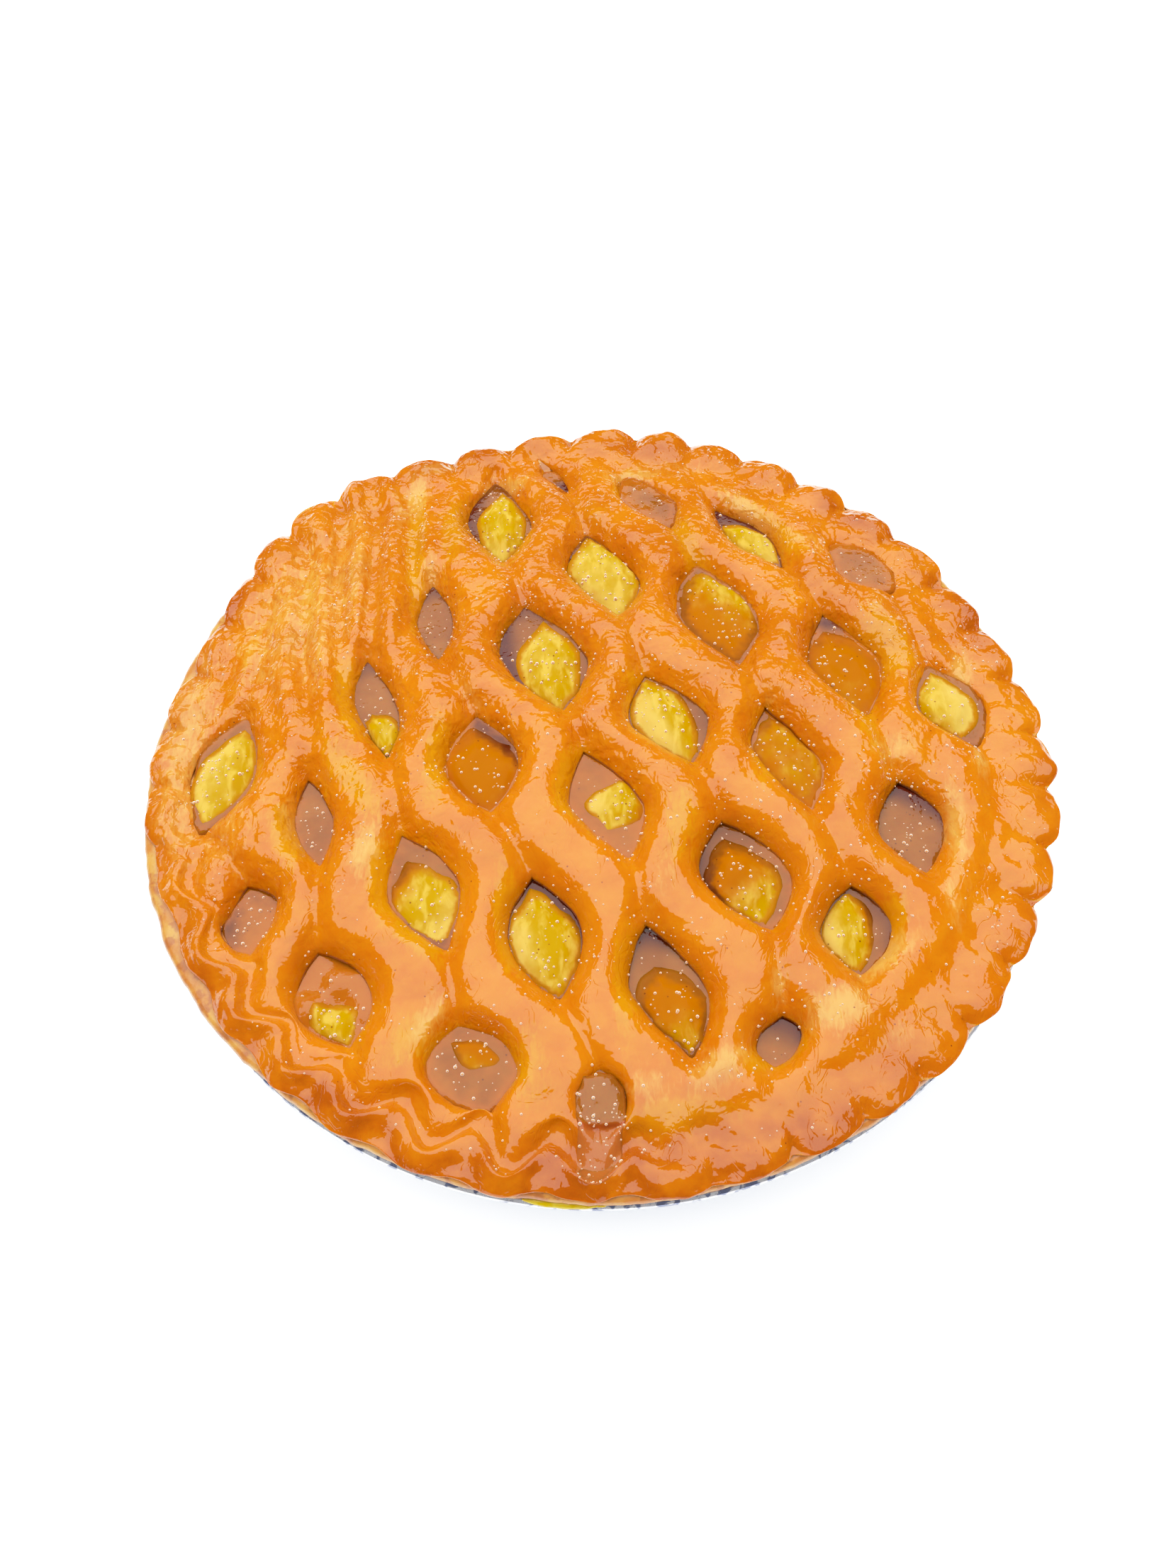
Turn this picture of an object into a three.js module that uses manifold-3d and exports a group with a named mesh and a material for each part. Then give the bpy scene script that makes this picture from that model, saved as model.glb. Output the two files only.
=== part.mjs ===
// Lattice apple pie, baked and glazed, in its foil tin.
// Millimetres, +Z up. Z = 0 is the table and the Z axis runs through the middle of the tin.

import * as THREE from "three";
import { mergeVertices } from "three/addons/utils/BufferGeometryUtils.js";
import Module from "manifold-3d";

const wasm = await Module();
wasm.setup();

// ---------------------------------------------------------------- driving dimensions

const GAP = 0.3; // between two pieces that touch
const STEPS = 60; // facets round the tin, the bottom crust and the filling

const TIN_BASE_R = 74; // flat bottom of the tin
const TIN_RIM_R = 99.6; // outside of the rolled rim
const TIN_RIM_Z = 24.7; // top of the rolled rim
const FOIL = 0.5; // foil, drawn thicker than the real 0.1

const CRUST_T = 3.5; // bottom crust
const LEDGE_Z = 27.9; // top of the bottom crust's rim, where the lid lies on it
const LEDGE_R = 90.4; // inner edge of that rim
const SHOW_AZ = 200; // direction, in degrees, in which the bottom crust shows most
const SHOW_HALF = 42; // half the angle over which it shows
const SHOW_OUT = 1.6; // how far it stands out there

const CROWN_Z = 40.5; // top of the lid, in the middle
const CROWN_DROP = 9.5; // fall of the lid from its middle to CROWN_R
const CROWN_R = 92;
const LID_T = 5.3; // puffed lid
const FILLING_DEPTH = LID_T + GAP; // filling below the top of the lid

const PIE_R = 100; // mean radius of the crimped edge
const CRIMPS = 40; // pinches round the edge
const ROPE_AZ = 236; // direction of the middle of the stretch that is pinched to a rope
const ROPE_HALF = 30; // half the angle of that stretch
const ROPE_FADE = 26; // angle over which the rope gives way to flat petals
const RIM_STEPS = CRIMPS * 4;

// Hand-formed edge: waves of the outline, [waves round the pie, size, phase].
const OUTLINE_WAVES = [
  [2, 0.4, 3.6], [3, 0.7, 2.0], [5, 0.8, 2.7], [6, 0.7, 0.2], [7, 0.5, 4.1], [8, 0.6, 1.8],
];

// Slits of the lid, pulled open as it was stretched over the filling. They stand in slanting
// rows: a slit's middle is ORIGIN + column * ALONG + row * DOWN, and then nudged by hand.
const ORIGIN = [-9.7, 89.5];
const ALONG = [26.5, -13.1];
const DOWN = [-13.6, -27.6];

// Points down one side of an outline, as shares of half its length.
const STOPS = [-1, -0.55, -0.12, 0.12, 0.55];

// name, row, column, nudge [x, y], length, width, turn of its long axis, skew (how much further
// along that axis its left corner lies than its right one) and fullness of its ends.
const SLITS = [
  ["tear", 0, 0, -0.5, -2.5, 13, 2, 124, 0.1, 1.7],
  ["a2", 0, 1, -3.2, -1.8, 17, 7.5, 124, 0.4, 1.7],
  ["a3", 0, 2, -5, 1, 24.5, 9, 128, 0.1, 1.7],
  ["a4", 0, 3, -5, 4, 16, 10.5, 134, 0, 1.9],
  ["b1", 1, 0, 0, 8, 28.5, 15, 96, 0.1, 1.6],
  ["b2", 1, 1, -1.2, 1.5, 27, 15.2, 106, 0.3, 1.7],
  ["b3", 1, 2, -1, 2, 30.5, 17.2, 106, 0.2, 1.8],
  ["b4", 1, 3, 1.5, 2, 29.5, 16.5, 105, 0.1, 1.5],
  ["b5", 1, 4, -1.8, 4, 21, 14.5, 112, 0.1, 1.7],
  ["c1", 2, 0, -0.5, 2.5, 23, 8, 97, 0, 1.7],
  ["c2", 2, 1, -1.5, 3.5, 31.5, 18.5, 107, 0.2, 1.7],
  ["c3", 2, 2, 0, -1, 25, 16.5, 113, 0.2, 1.6],
  ["c4", 2, 3, -0.5, 2.5, 27.5, 13, 108, 0.3, 1.6],
  ["c5", 2, 4, -1, 0, 22, 14.5, 100, -0.1, 1.8],
  ["d1", 3, 0, 1, 5.5, 28, 9, 104, 0.2, 1.6],
  ["d2", 3, 1, -1, 2, 24.5, 15.8, 99, 0, 1.8],
  ["d3", 3, 2, -0.5, 4.5, 27.5, 15, 110, 0.2, 1.5],
  ["d4", 3, 3, 2, 1, 26, 17.5, 110, 0.2, 1.9],
  ["d5", 3, 4, -2, 2.5, 19.5, 15, 91, -0.1, 1.8],
  ["e1", 4, -1, 7.5, 5, 28.5, 14, 76, 0, 1.8],
  ["e2", 4, 0, 2.5, 4.5, 21.5, 8, 102, 0, 1.7],
  ["e3", 4, 1, 1, -0.5, 28, 14.5, 111, 0, 1.6],
  ["e4", 4, 2, 0, 1.5, 27, 15, 102, 0, 1.8],
  ["e5", 4, 3, -1.5, 3, 28.5, 14.5, 108, 0.2, 1.6],
  ["e6", 4, 4, -6, 6, 10.5, 8, 77, -0.4, 2.2],
  ["f1", 5, 0, 4, 10, 15.5, 11.5, 96, -0.4, 1.8],
  ["f2", 5, 1, -3.2, 4.5, 21.5, 14.5, 112, 0.1, 2.2],
  ["f3", 5, 2, -0.8, 2, 17.5, 16, 110, 0.2, 2.3],
  ["f4", 5, 3, -1.5, 7.4, 11, 8, 93, 0, 2.4],
].map(([name, row, column, dx, dy, length, width, turn, skew, fullness]) => ({
  name,
  x: ORIGIN[0] + column * ALONG[0] + row * DOWN[0] + dx,
  y: ORIGIN[1] + column * ALONG[1] + row * DOWN[1] + dy,
  length, width, turn, skew, fullness,
}));

// A slit seen at several depths under the top of the lid: [depth, added width each side,
// added length each end]. The flare at the top rounds the strips and runs out as a crease.
const SLIT_LEVELS = [[-1.5, 4.8, 9], [1.5, 1.7, 3.2], [6.5, -0.2, -0.3]];

// Slits that stayed shut on the plain shoulder of the lid: x, y, length, turn.
const CREASES = [
  [-43, 59, 42, 91], [-53.5, 39.5, 30, 90], [-66, 18, 30, 99], [-63, 51, 27, 89], [-78.5, 22, 20, 79],
];
const CREASE_LEVELS = [[-1, 4, 4], [0.7, 1.3, 0], [1.8, 0, -2]];

// Apple pieces that stand out of the filling: slit, offset [x, y] of the piece in it, length,
// width, turn, and how far its top stands proud of the filling.
const APPLES = [
  ["b1", 0.9, -1.4, 27, 10.5, 88, 2.2],
  ["a3", 0.2, -1.6, 17, 7.5, 138, 1.4],
  ["b2", 0.3, -1, 26, 15.5, 104, 2.2],
  ["b3", 0.5, -0.6, 30, 16.5, 103, 1.2],
  ["b4", -0.8, -2.6, 25, 16, 104, 1.0],
  ["b5", -1.8, -1.1, 18, 11.5, 100, 2.0],
  ["d1", 1.5, -8, 12, 6.5, 107, 1.0],
  ["c2", 1.2, -3.4, 26, 11, 97, 2.2],
  ["c3", -0.8, -1, 25, 9.5, 114, 1.8],
  ["c4", 0, -1, 23, 9.5, 104, 1.2],
  ["e1", 2.8, -1.8, 28, 10, 74, 1.6],
  ["d2", 0, -2.3, 22, 15, 99, 1.6],
  ["d3", 2, -0.7, 12, 8.5, 69, 1.3],
  ["d4", -1, -2, 20, 13, 106, 1.9],
  ["d5", -2, -0.5, 19, 8, 87, 1.9],
  ["e3", 0.2, -4, 20, 12.5, 106, 1.4],
  ["e4", 0, -2.2, 24, 12, 103, 2.3],
  ["e5", 0.2, -3.8, 23, 13, 108, 1.7],
  ["f2", 0.3, -6.4, 10, 7, 128, 1.2],
  ["f3", 0.8, 2.2, 12, 4.5, 162, 0.9],
];
const APPLE_DEPTH = [2.8, 6.5]; // how deep a piece goes into the filling: least, and with room
const APPLE_CLEAR = 1.5; // filling left between a piece and the shell's wall

// ---------------------------------------------------------------- heights and outlines

const rad = THREE.MathUtils.degToRad;

// Top of the lid where no slit and no crimp changes it.
const crown = (r) => CROWN_Z - CROWN_DROP * (r / CROWN_R) ** 2;

// Rings of the lid's top and underside and of the filling's top: radius, points.
const DOME = [[20, 14], [45, 30], [67, 44]];

// 1 in the direction in which the bottom crust shows, falling to 0 at SHOW_HALF from it.
function show(azimuth) {
  const off = Math.abs(((THREE.MathUtils.radToDeg(azimuth) - SHOW_AZ + 540) % 360) - 180);
  return off < SHOW_HALF ? Math.cos((off / SHOW_HALF) * (Math.PI / 2)) ** 2 : 0;
}

const pinch = (azimuth) => Math.cos(CRIMPS * azimuth);

// Edge of the pie without its crimps.
const edge = (azimuth) =>
  OUTLINE_WAVES.reduce((r, [n, size, phase]) => r + size * Math.sin(n * azimuth + phase), PIE_R);

// 1 where the edge is pinched to a rope, at the near left, and 0 where it lies in flat petals.
function rope(azimuth) {
  const off = Math.abs(((THREE.MathUtils.radToDeg(azimuth) - ROPE_AZ + 540) % 360) - 180);
  return 1 - THREE.MathUtils.smoothstep(off, ROPE_HALF, ROPE_HALF + ROPE_FADE);
}

// ---------------------------------------------------------------- solids

const onCircle = (r, azimuth, z) => new THREE.Vector3(r * Math.cos(azimuth), r * Math.sin(azimuth), z);

// A ring of points: place(azimuth) gives its radius and height there.
function ring(count, place) {
  return Array.from({ length: count }, (_, k) => {
    const azimuth = (k / count) * 2 * Math.PI;
    const [r, z] = place(azimuth);
    return onCircle(r, azimuth, z);
  });
}

// Closed skin over rings that run from a point in the middle of the top outwards, round the
// edge and back to a point in the middle underneath. Rings may differ in their counts.
function skin(rings) {
  const starts = [];
  let total = 0;
  for (const points of rings) {
    starts.push(total);
    total += points.length;
  }
  const faces = [];
  for (let k = 0; k + 1 < rings.length; k++) {
    const inner = rings[k].length;
    const outer = rings[k + 1].length;
    const a = (i) => starts[k] + (i % inner);
    const b = (j) => starts[k + 1] + (j % outer);
    let i = inner === 1 ? 1 : 0;
    let j = outer === 1 ? 1 : 0;
    while (i < inner || j < outer) {
      const alongInner = i < inner && (j >= outer || (i + 1) / inner <= (j + 1) / outer);
      faces.push(a(i), b(j), alongInner ? a(i + 1) : b(j + 1));
      if (alongInner) i++;
      else j++;
    }
  }
  const geometry = new THREE.BufferGeometry().setFromPoints(rings.flat());
  geometry.setIndex(faces);
  return geometry;
}

function toSolid(geometry) {
  const bare = geometry.clone();
  bare.deleteAttribute("normal");
  bare.deleteAttribute("uv");
  const merged = mergeVertices(bare);
  const vertProperties = merged.attributes.position.array;
  const triVerts = new Uint32Array(merged.index.array);
  return new wasm.Manifold(new wasm.Mesh({ numProp: 3, vertProperties, triVerts }));
}

function toGeometry(solid) {
  const { vertProperties, triVerts } = solid.getMesh();
  const geometry = new THREE.BufferGeometry();
  geometry.setAttribute("position", new THREE.BufferAttribute(vertProperties, 3));
  geometry.setIndex(new THREE.BufferAttribute(triVerts, 1));
  geometry.computeVertexNormals();
  return geometry;
}

// ---------------------------------------------------------------- tin

// Pressed foil: flat base, sloping wall, narrow flange and a rolled rim.
function tin() {
  const wallR = TIN_RIM_R - 4.8;
  const wallZ = TIN_RIM_Z - 2.7;
  const profile = [
    [0, 0], [TIN_BASE_R, 0], [TIN_BASE_R + 2.4, 1], [wallR, wallZ],
    [TIN_RIM_R - 0.9, wallZ + 0.4], [TIN_RIM_R, wallZ + 1.4], [TIN_RIM_R - 0.8, TIN_RIM_Z],
    [TIN_RIM_R - 2.1, TIN_RIM_Z - 0.5], [TIN_RIM_R - 2.3, wallZ + 0.9],
    [wallR - FOIL, wallZ + FOIL], [TIN_BASE_R + 2, 1 + FOIL], [TIN_BASE_R - 0.2, FOIL], [0, FOIL],
  ];
  const points = profile.map(([r, z]) => new THREE.Vector2(r, z));
  return new THREE.LatheGeometry(points, STEPS).rotateX(Math.PI / 2);
}

// ---------------------------------------------------------------- bottom crust

const SHELL_R = TIN_BASE_R - FOIL - CRUST_T + 1.9; // inside of the shell at its floor
const SHELL_Z = FOIL + GAP + CRUST_T; // top of that floor

const SHELL_SLOPE = (LEDGE_R - SHELL_R) / (LEDGE_Z - SHELL_Z);

// Radius of the shell's inner wall at a height, and the height at which it has a radius.
const shellR = (z) => SHELL_R + (z - SHELL_Z) * SHELL_SLOPE;
const shellZ = (r) => SHELL_Z + (r - SHELL_R) / SHELL_SLOPE;

// Pastry shell that lines the tin, with a rim that lies over the tin's rolled edge.
function bottomCrust() {
  const lip = (inset, z) => ring(STEPS, (azimuth) => [PIE_R - 0.9 - inset + SHOW_OUT * show(azimuth), z]);
  const round = (r, z) => ring(STEPS, () => [r, z]);
  const wallR = TIN_RIM_R - 5.7;
  return skin([
    [new THREE.Vector3(0, 0, SHELL_Z)],
    round(SHELL_R, SHELL_Z),
    round(LEDGE_R, LEDGE_Z),
    lip(0.6, LEDGE_Z),
    lip(0, LEDGE_Z - 0.9),
    lip(0.3, TIN_RIM_Z + 0.5),
    round(TIN_RIM_R - 2.9, TIN_RIM_Z + GAP),
    round(wallR, TIN_RIM_Z - 1.8),
    round(TIN_BASE_R + 1.6, 1 + FOIL + 0.4),
    round(TIN_BASE_R - 0.4, FOIL + GAP),
    [new THREE.Vector3(0, 0, FOIL + GAP)],
  ]);
}

// ---------------------------------------------------------------- slits and what fills them

// Closed outline of a slit or an apple piece, counter-clockwise, wider and longer by given
// amounts, laid on a height rule. along and across are in the outline's own axes.
function lens({ x, y, length, width, turn, skew = 0, fullness = 2 }, wider, longer, height) {
  const cos = Math.cos(rad(turn));
  const sin = Math.sin(rad(turn));
  const half = (side) => STOPS.map((stop) => {
    const t = side * stop;
    const widest = -side * skew * (length / 2);
    const along = widest + t * (length / 2 + longer - Math.sign(t) * widest);
    const across = side * (width / 2 + wider) * (1 - Math.abs(t) ** fullness);
    const px = x + along * cos + across * sin;
    const py = y + along * sin - across * cos;
    return new THREE.Vector3(px, py, height(Math.hypot(px, py), along / length, across / width));
  });
  return [...half(1), ...half(-1)];
}

// A body between stacked outlines, the topmost first, each end closed to its middle point.
function stack(outlines) {
  const middle = (points) =>
    points.reduce((sum, point) => sum.add(point), new THREE.Vector3()).divideScalar(points.length);
  return skin([[middle(outlines[0])], ...outlines, [middle(outlines.at(-1))]]);
}

// What a slit or a crease takes out of the lid. A slit that hardly opened flares less.
function cutter(slit, levels) {
  const flare = Math.min(1, 0.4 + slit.width / 14);
  return toSolid(stack(levels.map(([depth, wider, longer]) =>
    lens(slit, wider * flare, longer * flare, (r) => crown(r) - depth))));
}

// Room inside a slit, clear of its walls, from deep in the filling to near the crown.
const slitRoom = (slit, clear) => toSolid(stack([0.5, FILLING_DEPTH + APPLE_DEPTH[1] + 2].map((depth) =>
  lens(slit, -clear, -1.5 * clear, (r) => crown(r) - depth))));

// Underside of an apple piece: less deep where the shell's wall is near.
function appleFloor({ x, y, width }, clear) {
  const reach = Math.hypot(x, y) + width / 2;
  const room = crown(reach) - FILLING_DEPTH - shellZ(reach + APPLE_CLEAR);
  const depth = FILLING_DEPTH + THREE.MathUtils.clamp(room, ...APPLE_DEPTH) + clear;
  return (r) => crown(r) - depth;
}

// A crowned wedge of apple. It rises along its length and rounds off to its edges.
function appleBody(piece) {
  const top = (share) => (r, along, across) =>
    crown(r) - FILLING_DEPTH + piece.rise * (share + 0.8 * along) - 0.6 * across;
  return toSolid(stack([
    lens(piece, -piece.width * 0.26, -piece.length * 0.2, top(1)),
    lens(piece, -piece.width * 0.06, -piece.length * 0.05, top(0.4)),
    lens(piece, 0, 0, appleFloor(piece, 0)),
  ]));
}

// Its seat in the filling.
const applePocket = (piece) => toSolid(stack([
  lens(piece, GAP, GAP, (r) => crown(r)),
  lens(piece, GAP, GAP, appleFloor(piece, GAP)),
]));

const applePieces = APPLES.map(([name, dx, dy, length, width, turn, rise]) => {
  const slit = SLITS.find((one) => one.name === name);
  const piece = {
    x: slit.x + dx, y: slit.y + dy, length, width, turn, rise, fullness: 2.2,
  };
  return {
    solid: appleBody(piece).intersect(slitRoom(slit, GAP * 1.5)),
    pocket: applePocket(piece).intersect(slitRoom(slit, GAP * 0.5)),
  };
});

// ---------------------------------------------------------------- filling

// Gelled apple filling: it fills the shell and swells up to the underside of the lid.
function filling() {
  const topZ = (r) => crown(r) - FILLING_DEPTH;
  const edgeR = shellR(crown(LEDGE_R) - FILLING_DEPTH) - GAP;
  const floorZ = SHELL_Z + GAP;
  let body = toSolid(skin([
    [new THREE.Vector3(0, 0, topZ(0))],
    ...DOME.map(([r, count]) => ring(count, () => [r, topZ(r)])),
    ring(STEPS, () => [edgeR, topZ(edgeR)]),
    ring(STEPS, () => [shellR(floorZ) - 2 * GAP, floorZ]),
    [new THREE.Vector3(0, 0, floorZ)],
  ]));
  for (const { pocket } of applePieces) body = body.subtract(pocket);
  return toGeometry(body);
}

// ---------------------------------------------------------------- lattice crust

// The lid: a puffed sheet with a domed middle. Its edge is a band of flat petals, and at the near
// left a zigzag gutter with a rope of dough behind it.
function latticeCrust() {
  const underZ = (r) => crown(r) - LID_T;
  const lidEdge = (azimuth) => edge(azimuth) - SHOW_OUT * show(azimuth);
  // A ring of the rim: its radius and how far the crimps swing it, and its heights as rope and
  // as petals, with the lift that the crimps give it.
  const crimped = (r, swing, ropeZ, petalZ, lift) => ring(RIM_STEPS, (azimuth) => {
    const out = (lidEdge(azimuth) - PIE_R) * THREE.MathUtils.smoothstep(r, 88, 99);
    const share = rope(azimuth);
    const beat = pinch(azimuth);
    return [r + out + swing * (0.5 + 0.5 * share) * beat, petalZ + (ropeZ - petalZ) * share + lift * beat];
  });
  const seat = LEDGE_Z + GAP; // underside of the lid's rim
  let body = toSolid(skin([
    [new THREE.Vector3(0, 0, crown(0))],
    ...DOME.map(([r, count]) => ring(count, () => [r, crown(r)])),
    ring(RIM_STEPS / 2, () => [84, crown(84) - 0.1]),
    crimped(87.4, 1.6, 31.5, 31, 0.1),
    crimped(91.6, 2.4, 29.7, 30.2, 0.3),
    crimped(94.8, 2.2, 31.4, 30.2, 0.6),
    crimped(98.4, 1.6, 30.6, 29.9, 0.4),
    crimped(99.7, 1.1, 29.2, 29, 0.1),
    crimped(99.3, 0.8, 28.6, 28.6, 0),
    ring(STEPS, () => [94.6, seat]),
    ring(STEPS, () => [LEDGE_R - 0.8, seat]),
    ring(STEPS, () => [LEDGE_R - 2, underZ(LEDGE_R - 2)]),
    ...DOME.toReversed().map(([r, count]) => ring(count, () => [r, underZ(r)])),
    [new THREE.Vector3(0, 0, underZ(0))],
  ]));
  for (const slit of SLITS) body = body.subtract(cutter(slit, SLIT_LEVELS));
  for (const [x, y, length, turn] of CREASES) {
    body = body.subtract(cutter({ x, y, length, width: 1, turn }, CREASE_LEVELS));
  }
  return toGeometry(body);
}

// ---------------------------------------------------------------- the pie

const finish = (color, roughness, metalness = 0) =>
  new THREE.MeshStandardMaterial({ color, roughness, metalness });

const foil = finish("#c8c4cc", 0.28, 1);
const palePastry = finish("#f0b45c", 0.45);
const gel = finish("#b3856a", 0.2);
const glazedPastry = finish("#e08a38", 0.2);

const pie = new THREE.Group();

function add(name, geometry, material) {
  const mesh = new THREE.Mesh(geometry, material);
  mesh.name = name;
  pie.add(mesh);
}

add("tin", tin(), foil);
add("bottom_crust", bottomCrust(), palePastry);
add("filling", filling(), gel);
add("lattice_crust", latticeCrust(), glazedPastry);
applePieces.forEach(({ solid }, k) => {
  add(`apple_${String(k + 1).padStart(2, "0")}`, toGeometry(solid), finish("#e6c83c", 0.25));
});

export default pie;
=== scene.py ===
# %% [markdown]
# # A lattice apple pie in its foil tin
#
# This lesson dresses the CAD model of a bakery pie: a foil tin, a bottom crust, a gelled apple
# filling and a domed lid whose slits were pulled open into a lattice. The CAD solids give every
# piece its true size and place. Here each of them gets the fine shape and the finish that the
# eye looks for: puffed and creased dough, wet apple, cloudy gel, crinkled foil and a glaze full
# of tiny bubbles.
#
# Shapes are worked out in millimetres, as a baker would measure them, and turned to metres when
# a mesh is made. Directions round the pie are degrees, counted from +X towards +Y: the near end
# of the pie, where the eye is, lies at -90.

# %% The frame
import itertools
import math

import bpy
import numpy as np
from mathutils import Matrix, Vector
from mathutils.geometry import delaunay_2d_cdt


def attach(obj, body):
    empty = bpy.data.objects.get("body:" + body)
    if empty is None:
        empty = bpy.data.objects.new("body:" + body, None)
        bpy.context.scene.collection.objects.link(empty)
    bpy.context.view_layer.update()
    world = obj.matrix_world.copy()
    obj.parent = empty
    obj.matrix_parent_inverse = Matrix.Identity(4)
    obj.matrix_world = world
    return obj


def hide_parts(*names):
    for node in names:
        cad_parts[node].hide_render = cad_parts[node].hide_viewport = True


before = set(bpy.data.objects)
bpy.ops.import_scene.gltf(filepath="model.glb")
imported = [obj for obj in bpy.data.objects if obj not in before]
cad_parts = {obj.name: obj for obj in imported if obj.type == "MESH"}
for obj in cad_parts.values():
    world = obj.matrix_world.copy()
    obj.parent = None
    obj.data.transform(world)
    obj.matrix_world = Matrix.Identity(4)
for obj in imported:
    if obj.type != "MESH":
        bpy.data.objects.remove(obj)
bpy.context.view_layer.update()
MM = 0.001

# %% [markdown]
# ## Small helpers
#
# A few helpers do the repeated work. `linear` turns an sRGB hex value, which is how people write
# colours, into the linear light that the renderer works in. `add` puts one node in a tree with
# its settings and inputs. `mesh_of` builds a mesh from points in millimetres, with any named
# values that its material or its Geometry Nodes read, and `make_piece` puts it in the scene.
# `ripple` is smooth seeded noise for the shapes made here: it is written out in NumPy, because it
# moves a hundred thousand points at once.

# %% Helpers for nodes and meshes
def linear(hex_colour):
    """An sRGB hex colour such as '#e28010' as linear red, green, blue and alpha."""
    parts = [int(hex_colour[k:k + 2], 16) / 255 for k in (1, 3, 5)]
    return tuple(c / 12.92 if c <= 0.04045 else ((c + 0.055) / 1.055) ** 2.4 for c in parts) + (1,)


def add(tree, kind, inputs=None, **settings):
    """One node in a tree. An input is a value, or the output socket that feeds it."""
    node = tree.nodes.new(kind)
    for name, value in settings.items():
        setattr(node, name, value)
    for name, value in (inputs or {}).items():
        if isinstance(value, bpy.types.NodeSocket):
            tree.links.new(value, node.inputs[name])
        else:
            node.inputs[name].default_value = value
    return node


def mesh_of(name, points, faces, **values):
    """A mesh from points in mm. Each extra value is stored on its points."""
    mesh = bpy.data.meshes.new(name)
    mesh.from_pydata((np.asarray(points) * MM).tolist(), [], [tuple(face) for face in faces])
    for key, numbers in values.items():
        store = mesh.attributes.new(key, "FLOAT", "POINT")
        store.data.foreach_set("value", np.asarray(numbers, np.float32))
    return mesh


def make_piece(name, points, faces, material, **values):
    """A smooth mesh object with its material."""
    mesh = mesh_of(name, points, faces, **values)
    mesh.shade_smooth()
    mesh.materials.append(material)
    piece = bpy.data.objects.new(name, mesh)
    bpy.context.scene.collection.objects.link(piece)
    return piece


def ring_faces(rings, count):
    """Quads that join each closed ring of `count` points to the next ring."""
    quads = []
    for start in range(0, (rings - 1) * count, count):
        for k in range(count):
            after = (k + 1) % count
            quads.append((start + k, start + after, start + count + after, start + count + k))
    return quads


# %% Helpers for shapes
def ripple(points, size, seed=0):
    """Smooth noise from about -1 to 1. Its lumps are `size` mm across."""
    spot = np.asarray(points, float) / size + seed * 7.31
    if spot.shape[1] == 2:
        spot = np.column_stack([spot, np.full(len(spot), seed * 3.7)])
    cell = np.floor(spot).astype(np.int64)
    part = spot - cell
    fade = part ** 3 * (part * (part * 6 - 15) + 10)
    total = np.zeros(len(spot))
    for corner in itertools.product((0, 1), repeat=3):
        key = (cell + corner) @ np.array([73856093, 19349663, 83492791])
        key = (key ^ (key >> 13)) * 1274126177
        draw = ((key ^ (key >> 16)) & 0xFFFF) / 32767.5 - 1
        share = np.prod(np.where(corner, fade, 1 - fade), axis=1)
        total += draw * share
    return total


def stir(points, size, seed_x, seed_y):
    """Smooth noise for both coordinates of flat points."""
    return np.column_stack([ripple(points, size, seed_x), ripple(points, size, seed_y)])


def smooth(x, low, high):
    """0 below low, 1 above high, and an even slope between them."""
    t = np.clip((x - low) / (high - low), 0, 1)
    return t * t * (3 - 2 * t)


def direction(degrees):
    """Unit vector that points that many degrees round from +X."""
    angle = math.radians(degrees)
    return np.array([math.cos(angle), math.sin(angle)])


def aside(azimuth, centre):
    """How many degrees a direction, in radians, lies from a centre, in degrees."""
    return np.abs((np.degrees(azimuth) - centre + 540) % 360 - 180)

# %% [markdown]
# ## The camera
#
# The pie is seen from above the table's edge: the camera stands on the near side, a little over
# 30 cm up, and looks down by 58 degrees through a 35 mm lens.

# %% Camera
CAMERA_AT = Vector((-2.0, -185.9, 314.7)) * MM
LOOK_DOWN = math.radians(57.85)
ROLL = math.radians(-0.55)

lens = bpy.data.cameras.new("camera")
lens.lens = 35
lens.sensor_width = 36
camera = bpy.data.objects.new("camera", lens)
bpy.context.scene.collection.objects.link(camera)
camera.matrix_world = (Matrix.Translation(CAMERA_AT)
                       @ Matrix.Rotation(math.pi / 2 - LOOK_DOWN, 4, "X")
                       @ Matrix.Rotation(ROLL, 4, "Z"))
bpy.context.scene.camera = camera

# %% [markdown]
# ## Light
#
# Wet glaze is read through its reflections, so the light matters as much as the material. One
# wide softbox hangs over the pie, a little behind it. A glazed surface mirrors about a
# twentieth of it, and only where it is turned the right way: those parts look salmon-pink, with
# a hard edge, and all other dough keeps its deep orange. The room is white too, but less than
# a tenth of it is mirrored, so that the orange beside a reflection stays clean. The paper on
# the table is lit from below a little, as on a light table: the pie's shadow stays thin, and the
# rim's outer edge gets its white glints. Last comes the film: a curve that leaves dark and
# middle tones alone and eases bright ones into white, where they would otherwise lose their
# colour at once.

# %% Light
SOFTBOX_AT = (-0.2, 0.52, 1.2)  # metres
SOFTBOX_SIDE = 2.0
SOFTBOX_RADIANCE = 3.05  # white paper in the room's light sends out about 1
ROOM_TINT = (0.96, 0.98, 1, 1)
ROOM_LIGHT, ROOM_MIRRORED = 0.9, 0.07  # its strength as light, and as seen in a reflection
# Light that reaches the film, and the tone that it leaves there.
FILM = [(0, 0), (0.3, 0.3), (0.6, 0.61), (0.72, 0.7), (0.86, 0.785), (1.0, 0.865), (1.12, 0.935), (1.3, 1.0)]

lamp = bpy.data.lights.new("softbox", "AREA")
lamp.shape = "RECTANGLE"
lamp.size = lamp.size_y = SOFTBOX_SIDE
lamp.energy = SOFTBOX_RADIANCE * math.pi * SOFTBOX_SIDE ** 2
softbox = bpy.data.objects.new("softbox", lamp)
softbox.location = SOFTBOX_AT
bpy.context.scene.collection.objects.link(softbox)

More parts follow.
